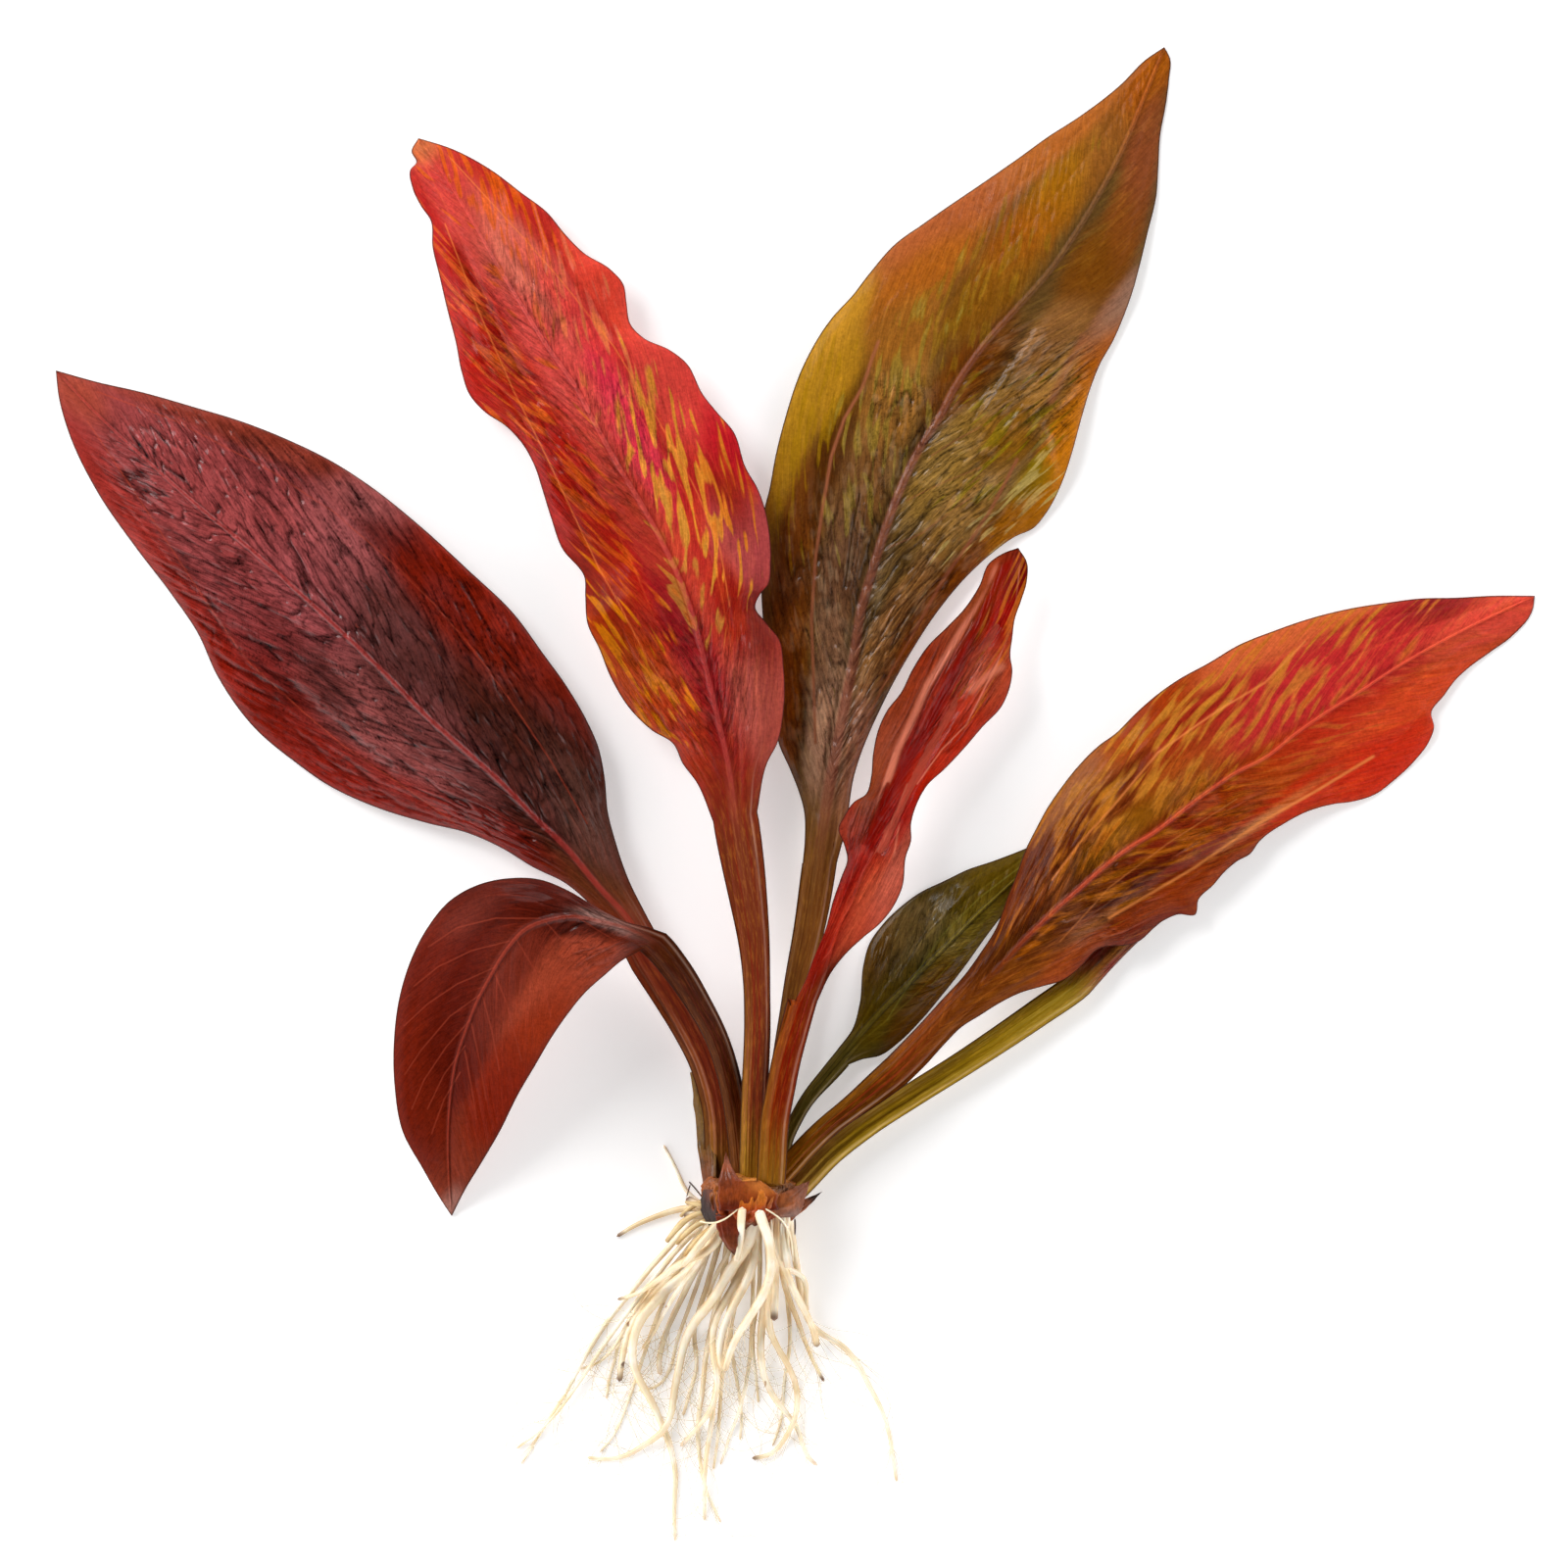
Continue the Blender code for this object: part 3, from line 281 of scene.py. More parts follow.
def flowing(points, fractions):
    """The points at these fractions of the length of a smooth curve through the points."""
    knots = distances(points)
    spans = np.diff(knots)[:, None]
    slopes = np.diff(points, axis=0) / spans
    inner = (slopes[:-1] * spans[1:] + slopes[1:] * spans[:-1]) / (spans[1:] + spans[:-1])
    tangents = np.concatenate([slopes[:1], inner, slopes[-1:]])
    where = np.asarray(fractions) * knots[-1]
    index = np.clip(np.searchsorted(knots, where, side="right") - 1, 0, len(spans) - 1)
    span = spans[index]
    t = (where[:, None] - knots[index][:, None]) / span
    return (
        points[index] * (2 * t**3 - 3 * t**2 + 1)
        + tangents[index] * span * (t**3 - 2 * t**2 + t)
        + points[index + 1] * (3 * t**2 - 2 * t**3)
        + tangents[index + 1] * span * (t**3 - t**2)
    )


def eased(t):
    """0 to 1 with a soft start and end."""
    t = np.clip(t, 0.0, 1.0)
    return t * t * (3 - 2 * t)


def to_the_left(line):
    """At each point of a line, the level direction that is square to it on its left."""
    along = np.gradient(line, axis=0)
    across = np.stack([-along[:, 1], along[:, 0], np.zeros(len(line))], axis=1)
    return across / np.linalg.norm(across, axis=1)[:, None]


def reach(margin, middle):
    """How far a margin lies from the midrib, seen from above."""
    return np.linalg.norm((margin - middle)[..., :2], axis=-1)


# %% [markdown]
# Wrinkles are uneven, and yet the same each time the script runs. A fixed table of
# random heights, eased from one to the next, gives that: stretched, it makes long
# creases, and squeezed, fine grain.

# %% Uneven ground
TABLE_SIDE = 256


def uneven(u, v, seed):
    """Smooth random heights from -1 to 1 over a plane that is measured in cells."""
    heights = np.random.default_rng(seed).uniform(-1, 1, (TABLE_SIDE, TABLE_SIDE))
    i, j = np.floor(u).astype(int), np.floor(v).astype(int)
    a, b = eased(u - i), eased(v - j)

    def height(di, dj):
        return heights[(i + di) % TABLE_SIDE, (j + dj) % TABLE_SIDE]

    near = height(0, 0) * (1 - a) + height(1, 0) * a
    far = height(0, 1) * (1 - a) + height(1, 1) * a
    return near * (1 - b) + far * b


# %% [markdown]
# A leaf, a root or a scrap of sheath is one closed skin, wrapped round a line. A
# flat grid is rolled up for it: one side of the grid runs round the section and the
# other along the line. The seam and the two ends are then merged, so it is closed.
# What a material must know of a place, such as how far it lies from the midrib, is
# kept at each point as an attribute.

# %% Rolled skins
def in_scene(name, data):
    """A new object that shows a mesh, a lamp or a camera."""
    piece = bpy.data.objects.new(name, data)
    bpy.context.scene.collection.objects.link(piece)
    return piece


def mesh_of(name, shape):
    """A new mesh from a bmesh, which is then let go, and the mesh's points."""
    data = bpy.data.meshes.new(name)
    shape.to_mesh(data)
    shape.free()
    points = np.empty(len(data.vertices) * 3)
    data.vertices.foreach_get("co", points)
    return data, points.reshape(-1, 3)


def rolled(name, places, notes):
    """A closed mesh from rows of points round a line, with notes of three numbers for each point."""
    rows, columns = places.shape[:2]
    shape = bmesh.new()
    bmesh.ops.create_grid(shape, x_segments=columns - 1, y_segments=rows - 1, size=0.5)
    data, flat = mesh_of(name, shape)
    column = np.rint((flat[:, 0] + 0.5) * (columns - 1)).astype(int)
    row = np.rint((flat[:, 1] + 0.5) * (rows - 1)).astype(int)
    data.vertices.foreach_set("co", places[row, column].ravel())
    for kept, values in notes.items():
        layer = data.attributes.new(kept, "FLOAT_VECTOR", "POINT")
        layer.data.foreach_set("vector", np.ascontiguousarray(values[row, column]).ravel())
    shape = bmesh.new()
    shape.from_mesh(data)
    bmesh.ops.remove_doubles(shape, verts=shape.verts, dist=1e-7)
    bmesh.ops.recalc_face_normals(shape, faces=shape.faces)
    shape.to_mesh(data)
    shape.free()
    data.shade_smooth()
    return in_scene(name, data)


def note(*numbers):
    """Three numbers for each point of a skin."""
    return np.stack(np.broadcast_arrays(*numbers), axis=-1)


def dressed(piece, material, slot, *nodes):
    """A finished piece: its material, its slot, which is not used, and the solids that it stands for."""
    piece.data.materials.append(material)
    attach(piece, "root")
    if nodes:
        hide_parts(*nodes)
    return piece


# %% [markdown]
# The blade has one midrib and, on each side, two long veins that leave it at the
# foot and meet it again at the tip. Fine side veins leave the midrib in a slant
# towards the tip and reach the margin in a curve. Between veins the blade swells,
# and where it dried or was folded it wrinkles along the side veins. Each leaf has
# its own slant, its own strength of wrinkles, and spots where it is most creased.

# %% How each leaf is veined and creased
BLADE_THICKNESS = 0.6 * MM
PETIOLE_ROUND = 0.75
RIB_NARROWING = 0.75
FULLEST = 0.12

# slant: how far along a side vein runs for each step out from the midrib.
# swell and wrinkle: heights in mm. creased: spots (x, y, radius) in pixels.
# folds: height and half width in mm, then a line in pixels; below 0 it is a furrow.
# drawn: strength and half width in mm of a paler line, mostly a vein and on a few ridges a
# painted highlight; below 0, a darker line of painted shade along a fold.
RELIEF = {
    "leaf_wine": {
        "seed": 11, "slant": 1.9, "vein_spacing": 1.6, "swell": 0.16, "wrinkle": 0.26, "long_grooves": 0.6,
        "wave": 0.35,
        "creased": [(300, 580, 150), (430, 690, 130), (520, 790, 90), (170, 480, 60)],
        "folds": [
            (-0.3, 0.7, 225,560, 330,610, 440,700, 540,800),
            (0.22, 0.9, 300,620, 380,720, 480,800),
            (-0.35, 1.2, 300,700, 350,745, 400,790),
        ],
        "drawn": [
            (0.5, 0.18, 100,400, 180,430, 281,483, 343,524, 391,565, 438,610, 479,657, 520,712, 561,773,
            600,840),
            (0.5, 0.18, 90,430, 150,520, 220,627, 254,675, 302,719, 350,760, 411,801, 480,850),
            (-0.6, 0.16, 300,575, 350,630, 400,680, 460,735, 520,800),
        ],
    },
    "leaf_drooping": {
        "seed": 23, "slant": 1.2, "vein_spacing": 3.1, "swell": 0.1, "wrinkle": 0.12, "long_grooves": 0.15,
        "wave": 0.25,
        "creased": [(605, 945, 40)],
        "folds": [
            (0.35, 0.8, 585,925, 620,938, 655,952),
        ],
        "drawn": [
            (0.55, 0.16, 508,985, 470,1002, 440,1022, 415,1045),
            (0.55, 0.16, 494,1012, 462,1035, 432,1070, 415,1095),
            (0.55, 0.16, 483,1038, 458,1066, 435,1100, 422,1130),
            (0.55, 0.16, 477,1065, 455,1095, 438,1130),
            (0.55, 0.16, 472,1092, 455,1120, 442,1155),
            (0.55, 0.16, 524,958, 485,968, 450,985, 425,1005),
            (0.55, 0.16, 555,935, 510,935, 470,945, 440,965),
            (0.55, 0.16, 508,990, 520,1020, 530,1060, 535,1080),
            (0.55, 0.16, 496,1015, 505,1050, 512,1090),
            (0.55, 0.16, 484,1042, 492,1080, 498,1120),
            (0.55, 0.16, 477,1070, 483,1105, 488,1140),
            (0.55, 0.16, 530,955, 548,985, 560,1010, 565,1035),
            (0.55, 0.16, 560,938, 580,960, 600,985),
            (0.55, 0.16, 590,932, 610,945, 635,960),
        ],
    },
    "leaf_red": {
        "seed": 31, "slant": 1.8, "vein_spacing": 1.2, "swell": 0.12, "wrinkle": 0.14, "long_grooves": 0.7,
        "wave": 0.3,
        "creased": [(520, 330, 70), (600, 460, 80), (700, 700, 70)],
        "folds": [
            (-0.55, 1.0, 472,258, 490,300, 518,352, 550,410),
            (0.35, 1.1, 455,262, 478,318, 508,372),
            (-0.35, 0.8, 745,560, 748,620, 760,680, 762,740),
            (0.3, 0.9, 772,660, 778,720, 772,770),
            (-0.25, 0.7, 560,250, 610,320, 655,380),
        ],
        "drawn": [
            (0.55, 0.16, 440,140, 490,195, 540,250, 574,289, 628,357, 669,425, 710,500, 735,560, 745,620),
            (0.55, 0.17, 455,230, 490,320, 525,400, 560,470, 587,528, 611,579, 632,616, 660,670, 700,730),
        ],
    },
    "leaf_olive": {
        "seed": 47, "slant": 1.6, "vein_spacing": 1.6, "swell": 0.14, "wrinkle": 0.3, "long_grooves": 0.5,
        "wave": 0.4,
        "creased": [(900, 620, 110), (870, 740, 70), (950, 500, 80), (1060, 400, 60), (915, 410, 30)],
        "folds": [
            (-0.4, 0.3, 877,505, 870,540, 862,600),
            (0.35, 0.3, 883,515, 876,560, 868,610),
            (0.55, 0.9, 1060,340, 1035,378, 1005,420),
            (-0.45, 0.9, 1075,352, 1050,395, 1022,436),
            (0.6, 1.2, 1062,440, 1075,490),
            (-0.35, 0.9, 850,600, 848,680, 852,760, 850,820),
            (0.3, 0.9, 868,620, 866,700, 862,780),
        ],
        "drawn": [
            (0.8, 0.34, 896,350, 890,366, 880,396, 861,429, 848,467, 839,521, 832,570, 828,633, 830,695,
            832,758),
            (0.8, 0.36, 1037,470, 1012,518, 990,552, 960,595, 928,654, 899,704, 874,762),
            (0.5, 0.18, 950,466, 975,450, 1002,436),
            (0.5, 0.18, 924,512, 960,494, 1000,478),
            (0.5, 0.18, 905,560, 940,545, 990,508),
            # Painted shadow beside the glossy crease.
            (-0.7, 0.2, 1025,385, 1014,404, 1003,422),
            (-0.8, 0.2, 877,505, 870,540, 862,600),
            (-0.6, 0.2, 945,388, 956,408, 960,430),
            # A painted highlight along a shiny flap near the right margin.
            (0.5, 1.0, 1072,410, 1086,380, 1104,345),
        ],
    },
    "leaf_young": {
        "seed": 53, "slant": 5.0, "vein_spacing": 1.0, "swell": 0.1, "wrinkle": 0.16, "long_grooves": 0.1,
        "wave": 0.35,
        "creased": [(960, 700, 70), (890, 860, 50)],
        "folds": [
            (0.9, 1.3, 1035,570, 1000,640, 960,700, 925,765, 900,830),
            (-0.8, 1.2, 1015,640, 985,700, 950,760, 915,830, 885,900),
            (0.7, 1.5, 1005,675, 985,715),
            (0.5, 0.9, 870,815, 858,850),
            (-0.5, 0.9, 925,860, 895,920, 860,985),
            (0.4, 0.8, 940,870, 905,940),
        ],
        "drawn": [
            (0.75, 0.75, 1018,565, 1008,600, 985,635, 965,670, 945,700, 932,730, 915,765, 905,800),
            (0.6, 0.9, 990,705, 1006,690, 1024,680),
            (0.6, 0.18, 1040,575, 1035,620, 1028,650, 1015,680, 1000,710, 985,740, 960,765, 935,800),
            (0.5, 0.22, 925,800, 905,850, 880,890, 865,930, 850,960),
            (0.5, 0.3, 918,830, 912,870, 900,900, 885,940, 865,985),
            (0.5, 0.7, 900,905, 885,930),
            (0.4, 0.3, 912,770, 897,810, 892,830),
            (-0.9, 0.8, 1030,572, 1012,600, 995,640, 970,690, 950,735, 925,780, 905,815, 885,860),
            (-0.6, 0.25, 1000,580, 960,640, 945,660, 930,690, 905,710),
            (-0.7, 0.3, 935,790, 915,840, 898,880, 880,930, 858,975),
            (-0.8, 0.3, 905,800, 890,850, 872,900, 850,950, 838,990),
            (-0.5, 0.25, 940,830, 925,880, 905,915, 885,950),
            (0.5, 0.5, 930,850, 915,890, 895,930, 872,965),
            (0.5, 0.3, 885,870, 868,920, 850,965),
        ],
    },
    "leaf_green": {
        "seed": 61, "slant": 1.3, "vein_spacing": 2.0, "swell": 0.12, "wrinkle": 0.12, "long_grooves": 0.5,
        "wave": 0.2,
        "creased": [(940, 960, 60)],
        "folds": [
            (0.3, 0.8, 990,905, 950,950, 915,1000),
        ],
        "drawn": [
            (0.5, 0.16, 1040,885, 1000,915, 960,955, 930,1000, 905,1040),
            (0.4, 0.14, 1025,925, 985,965, 950,1005),
            (-0.5, 0.2, 960,930, 935,965, 920,990),
        ],
    },
    "leaf_right": {
        "seed": 71, "slant": 1.7, "vein_spacing": 1.4, "swell": 0.12, "wrinkle": 0.13, "long_grooves": 0.7,
        "wave": 0.3,
        "creased": [(1120, 915, 60), (1240, 840, 50)],
        "folds": [
            (0.6, 0.9, 1352,801, 1290,830, 1225,860, 1150,905, 1090,944),
            (-0.5, 0.9, 1345,822, 1285,850, 1215,882, 1140,925),
            (-0.3, 0.8, 1250,715, 1180,760, 1120,815),
        ],
        "drawn": [
            (0.6, 0.26, 1072,897, 1100,860, 1132,825, 1180,768, 1240,726, 1289,697, 1330,655),
            (0.7, 0.32, 1130,936, 1217,885, 1281,841, 1345,805, 1400,772),
            (0.4, 0.2, 1080,960, 1130,905, 1190,860, 1260,815),
        ],
    },
    "leaf_under": {
        "seed": 83, "slant": 1.7, "vein_spacing": 1.6, "swell": 0.08, "wrinkle": 0.12, "long_grooves": 0.4,
        "wave": 0.15,
        "creased": [(1120, 980, 40)],
        "folds": [],
        "drawn": [],
    },
}

# %% [markdown]
# The long veins are given as shares of the way from the midrib to the margin. They
# lie closer to the midrib near the foot, as they come out of the petiole together.

# %% Where the long veins run
LONG_VEINS = (0.40, 0.76)


def vein_share(vein, progress):
    """How far out a long vein lies at this progress along the blade."""
    gathered = eased(progress / 0.25)
    return vein * (0.55 + 0.45 * gathered)


# %% [markdown]
# This works out every point of a leaf. Rows run from the foot of the petiole to the
# tip, and columns run round the section, most of them over the top, where the
# detail is. The petiole is an oval that widens and flattens into the blade.

# %% One leaf
ROUND_TOP = 0.84
LEAF_COLUMNS = 200
LEAF_ROWS = 490
PETIOLE_STEP = 0.9 * MM
FINEST_STEP = 0.24 * MM
FOOT_REACH = 3.8 * MM
EVENED_OVER = 12 * MM
WAVE_LENGTH = 17 * MM
CALM_MARGIN = 2.2 * MM
ROUNDED_EDGE = 1.2 * MM
GROOVE_DEPTH = 0.16 * MM
GROOVE_HALF_WIDTH = 0.45 * MM
LEAST_BELOW = 0.03 * MM
LEAST_ABOVE = 0.25 * MM


def section_columns(columns):
    """Each column's place across a leaf, 1 at the left margin and -1 at the right, and whether it is under."""
    turn = np.linspace(0.0, 1.0, columns)
    under = turn > ROUND_TOP
    over_place = 1 - 2 * turn / ROUND_TOP
    under_place = 2 * (turn - ROUND_TOP) / (1 - ROUND_TOP) - 1
    place = np.where(under, under_place, over_place)
    return place * (0.82 + 0.18 * place**2), under


def into_the_crown(line, reach_back):
    """A line that starts earlier, by this distance, in the direction that it comes from."""
    step = line[0] - line[1]
    return np.concatenate([[line[0] + step / np.linalg.norm(step) * reach_back], line])


def leaf_frame(shape):
    """Row by row: the middle, the two margins, the share of the blade passed, and the distance along."""
    line = into_the_crown(placed(shape["petiole"] + shape["midrib"]), FOOT_REACH)
    length = distances(line)
    blade_start = length[len(shape["petiole"]) // 3 + 1] / length[-1]
    petiole_rows = int(length[-1] * blade_start / PETIOLE_STEP)
    blade_rows = min(LEAF_ROWS - petiole_rows, int(length[-1] * (1 - blade_start) / FINEST_STEP))
    petiole_at = np.linspace(0.0, blade_start, petiole_rows, endpoint=False)
    at = np.concatenate([petiole_at, np.linspace(blade_start, 1.0, blade_rows)])
    middle = flowing(line, at)
    progress = (at - blade_start) / (1 - blade_start)
    blade_at = np.clip(progress, 0.0, 1.0)
    widening = eased(at / blade_start * 2 - 1)
    across = to_the_left(middle)
    margins = []
    for side, direction in (("left", 1), ("right", -1)):
        margin = flowing(placed(shape[side]), blade_at)
        foot_place = flowing(line, [blade_start])[0]
        blade_foot = reach(margin[0], foot_place)
        half_widths = shape[f"foot_{side}"] * MM * (1 - widening) + blade_foot * widening
        petiole_margin = middle + direction * across * half_widths[:, None]
        margins.append(np.where(progress[:, None] < 0, petiole_margin, margin))
    return middle, margins[0], margins[1], progress, at * length[-1]


def evened(widths, along):
    """Half widths evened out along the leaf, so that long veins don't follow each wave of the margin."""
    near = np.exp(-(((along - along[:, 0][None, :]) / EVENED_OVER) ** 2))
    spacing = np.gradient(along[:, 0])
    near = near * spacing[None, :]
    return near @ widths / near.sum(axis=1)[:, None]


def fold_heights(points, folds):
    """How high the folds lift the points. Each is its height and half width in mm, then a run of pixels."""
    lift = np.zeros(points.shape[:-1])
    for height, half_width, *line in folds:
        path = traced(line)
        room = 3 * half_width * MM
        past_low = points[..., :2] > path.min(axis=0) - room
        inside = np.all(past_low & (points[..., :2] < path.max(axis=0) + room), axis=-1)
        level = points[inside][:, :2]
        nearest = np.full(len(level), np.inf)
        for start, end in zip(path[:-1], path[1:]):
            step = end - start
            share = np.clip((level - start) @ step / (step @ step), 0.0, 1.0)
            nearest = np.minimum(nearest, np.linalg.norm(level - start - share[:, None] * step, axis=1))
        lift[inside] += height * MM * np.exp(-((nearest / (half_width * MM)) ** 2))
    return lift


def leaf(name, shape, relief):
    """The fine mesh of one leaf."""
    middle, left, right, progress, along = leaf_frame(shape)
    place, under = section_columns(LEAF_COLUMNS)
    share = np.abs(place)[None, :]
    middle, left, right = middle[:, None, :], left[:, None, :], right[:, None, :]
    progress, along = progress[:, None], along[:, None]
    blade = np.clip(progress, 0.0, 1.0)
    margin = np.where(place[None, :, None] > 0, left, right)
    half_width = reach(margin, middle)
    narrow = np.minimum(reach(left, middle), reach(right, middle))
    foot_rib = min(shape["foot_left"], shape["foot_right"]) * MM
    rib = np.minimum(foot_rib * (1 - RIB_NARROWING * blade), np.maximum(narrow, 1e-6))
    foot_depth, tip_depth = shape["rib_depth"]
    depth = (foot_depth + (tip_depth - foot_depth) * eased(1.4 * blade)) * MM
    flatness = eased((narrow / rib - 1.1) / 1.2)
    fullness = np.sin(np.pi * np.minimum(1.0, blade + FULLEST)) ** 0.7
    points = middle + (margin - middle) * share[..., None]
    out = share * half_width
    # Measures of the surface, in mm: along the side veins' foot, and across.
    side = np.sign(place)[None, :]
    foot = (along - relief["slant"] * out * (1 + 0.4 * share)) / MM
    across = side * out / MM
    step = math.hypot(1.0, relief["slant"])
    lane, run = foot / step, across * step
    seed = relief["seed"]
    creased = np.zeros_like(out)
    for x, y, radius in relief["creased"]:
        centre = np.array(plan(x, y))
        away = np.linalg.norm(points[..., :2] - centre, axis=-1) / (radius * PIXEL)
        creased = np.maximum(creased, eased(1.6 - away))
    calm = flatness * eased((1 - share) * half_width / CALM_MARGIN) * eased((1 - blade) / 0.06)
    # The shape that both sides share.
    puff = shape["puff"] * MM * flatness * fullness * np.sin(np.pi * share)
    wave = relief["wave"] * MM * uneven(along / WAVE_LENGTH, across / 12 + 40, seed) * calm
    lift = puff + wave
    # What shows on the upper side only.
    phase = (lane + 0.8 * uneven(lane / 5, run / 8 + 20, seed + 1)) / relief["vein_spacing"]
    between = np.abs(phase - np.rint(phase)) * 2
    vein_line = 1 - between
    uneven_strength = eased(0.45 + 0.8 * uneven(lane / 6, run / 9 + 60, seed + 7))
    swell = relief["swell"] * MM * (np.sqrt(between + 0.02) - 0.6) * calm * uneven_strength
    bent = lane + 1.0 * uneven(lane / 2.2, run / 4 + 70, seed + 8)
    furrow = np.clip(1 - 4.4 * np.abs(uneven(bent / 1.3, run / 7 + 20, seed + 2)), 0, 1)
    crossing = np.clip(1 - 4.6 * np.abs(uneven(bent / 0.9, run / 3 + 90, seed + 9)), 0, 1)
    lumps = uneven(bent / 0.8, run / 2.6 + 50, seed + 3)
    pits = uneven(along / (1.1 * MM), across / 1.1 + 80, seed + 4)
    crease = 0.5 * lumps + 0.35 * pits - 0.9 * furrow - 0.5 * crossing
    strength = 0.22 + 0.78 * creased * eased(0.75 + 0.7 * uneven(lane / 4, run / 6 + 33, seed + 10))
    wrinkle = relief["wrinkle"] * MM * crease * calm * strength
    drawn = fold_heights(points, relief["drawn"]) / MM
    wrinkle += fold_heights(points, relief["folds"]) * calm
    groove = np.zeros_like(out)
    vein_gaps = []
    calm_width = evened(half_width, along)
    for vein in LONG_VEINS:
        gap = out - vein_share(vein, blade) * calm_width
        vein_gaps.append(gap / MM)
        groove -= GROOVE_DEPTH * relief["long_grooves"] * np.exp(-((gap / GROOVE_HALF_WIDTH) ** 2)) * calm
    rib_half = rib * (0.42 - 0.15 * blade)
    valley = -0.5 * depth * np.exp(-((out / (2.6 * rib_half)) ** 2)) * flatness
    ridge = (0.35 * MM + 0.3 * depth) * np.exp(-((out / rib_half) ** 2)) * flatness * eased((1 - blade) / 0.04)
    channel = uneven(place[None, :] * 3.2 + 9, along / (70 * MM), seed + 5) * 0.16 * MM
    channel += uneven(place[None, :] * 9 + 30, along / (40 * MM), seed + 6) * 0.07 * MM
    channel = channel * (1 - 0.75 * flatness) * eased((1 - share) / 0.25)
    upper = swell + wrinkle + groove + valley + ridge + channel
    ribs_out = np.minimum(out / rib, 1.0)
    rib_here = depth * np.sqrt(1 - ribs_out**2)
    skin = BLADE_THICKNESS / 2 * np.sqrt(np.clip((1 - share) * half_width / ROUNDED_EDGE, 0.0, 1.0))
    over = lift + skin + rib_here * PETIOLE_ROUND * (1 - flatness) + upper
    below = lift - skin - rib_here
    height = points[..., 2] + np.where(under[None, :], below, over)
    least = np.where(under[None, :], LEAST_BELOW, LEAST_ABOVE * eased((1 - share) * 12))
    points[..., 2] = np.maximum(height, least)
    # Close the foot and the tip.
    points[0] = points[0].mean(axis=0)
    points[-1] = placed(shape["midrib"][-3:])[0]
    notes = {
        "vein": note(lane, run, place[None, :]),
        "stem": note(along / MM, progress, half_width / MM),
        "gaps": note(*vein_gaps, 1.0 * under[None, :]),
        "marks": note(vein_line, creased, flatness),
        "creases": note(np.maximum(furrow, 0.7 * crossing), lumps + 0.5 * pits, drawn) * calm[..., None],
    }
    piece = rolled(name + "_skin", points, notes)
    print(name, len(piece.data.polygons), "faces")
    return piece


# %% [markdown]
# A material's sums are easier to read as sums. This small class holds one socket:
# adding or multiplying two of them adds a Math node, and any other node is made by
# its type, its settings and what goes into its sockets.

# %% Sums of sockets
class Wire:
    """One socket of a material's nodes, which can be used in a sum."""

    def __init__(self, tree, socket=None):
        self.tree = tree
        self.socket = socket

    def node(self, kind, settings=None, inputs=None, output=0):
        """Adds a node, sets it up, links its inputs, and gives one of its outputs."""
        made = self.tree.nodes.new(kind)
        for name, value in (settings or {}).items():
            setattr(made, name, value)
        for name, value in (inputs or {}).items():
            if isinstance(value, Wire):
                self.tree.links.new(value.socket, made.inputs[name])
            else:
                made.inputs[name].default_value = value
        return Wire(self.tree, made.outputs[output])

    def math(self, operation, *values):
        """A Math node on numbers and wires."""
        return self.node("ShaderNodeMath", {"operation": operation}, dict(enumerate(values)))

    def __add__(self, other):
        return self.math("ADD", self, other)

    __radd__ = __add__

    def __mul__(self, other):
        return self.math("MULTIPLY", self, other)

    __rmul__ = __mul__

    def __sub__(self, other):
        return self.math("SUBTRACT", self, other)

    def __rsub__(self, other):
        return self.math("SUBTRACT", other, self)

    def __truediv__(self, other):
        return self.math("DIVIDE", self, other)

    def size(self):
        """Its distance from 0."""
        return self.math("ABSOLUTE", self)

    def between(self, low, high):
        """0 at low, 1 at high, and soft at both ends."""
        ends = {"Value": self, "From Min": low, "From Max": high}
        return self.node("ShaderNodeMapRange", {"interpolation_type": "SMOOTHSTEP"}, ends)

    def parts(self):
        """The three numbers of a vector."""
        split = self.node("ShaderNodeSeparateXYZ", inputs={"Vector": self})
        return [Wire(self.tree, socket) for socket in split.socket.node.outputs]

    def vector(self, operation, *values, output=0):
        """A Vector Math node on vectors and wires."""
        return self.node("ShaderNodeVectorMath", {"operation": operation}, dict(enumerate(values)), output)

    def joined(self, x, y, z=0.0):
        """A vector from three numbers."""
        return self.node("ShaderNodeCombineXYZ", inputs={"X": x, "Y": y, "Z": z})

    def noise(self, where, detail=2.0, roughness=0.5, scale=1.0, distortion=0.0):
        """Random heights from 0 to 1 at a place that is measured in cells."""
        settings = {"Vector": where, "Scale": scale, "Detail": detail}
        settings.update({"Roughness": roughness, "Distortion": distortion})
        return self.node("ShaderNodeTexNoise", inputs=settings)

    def noted(self, name):
        """The three numbers that a skin keeps under this name."""
        return self.node("ShaderNodeAttribute", {"attribute_name": name}, output=1).parts()

    def blend(self, amount, first, second):
        """The first colour where amount is 0, the second where it is 1."""
        return self.node("ShaderNodeMix", {"data_type": "RGBA"}, {0: amount, 6: first, 7: second}, output=2)

    def shaded(self, colour, shade):
        """A colour made darker by a shade: 0 is black, and 1 leaves it as it is."""
        settings = {"data_type": "RGBA", "blend_type": "MULTIPLY"}
        grey = self.joined(shade, shade, shade)
        return self.node("ShaderNodeMix", settings, {0: 1.0, 6: colour, 7: grey}, output=2)


# %% [markdown]
# Colours are written as they look on a screen, from 0 to 255.
# Blender reckons with light, so each is changed to the amount of light first.

# %% Tones
def tone(red, green, blue):
    """A colour as it looks on a screen, as amounts of light."""
    shown = (red / 255, green / 255, blue / 255)
    light = [c / 12.92 if c <= 0.04045 else ((c + 0.055) / 1.055) ** 2.4 for c in shown]
    return (*light, 1.0)
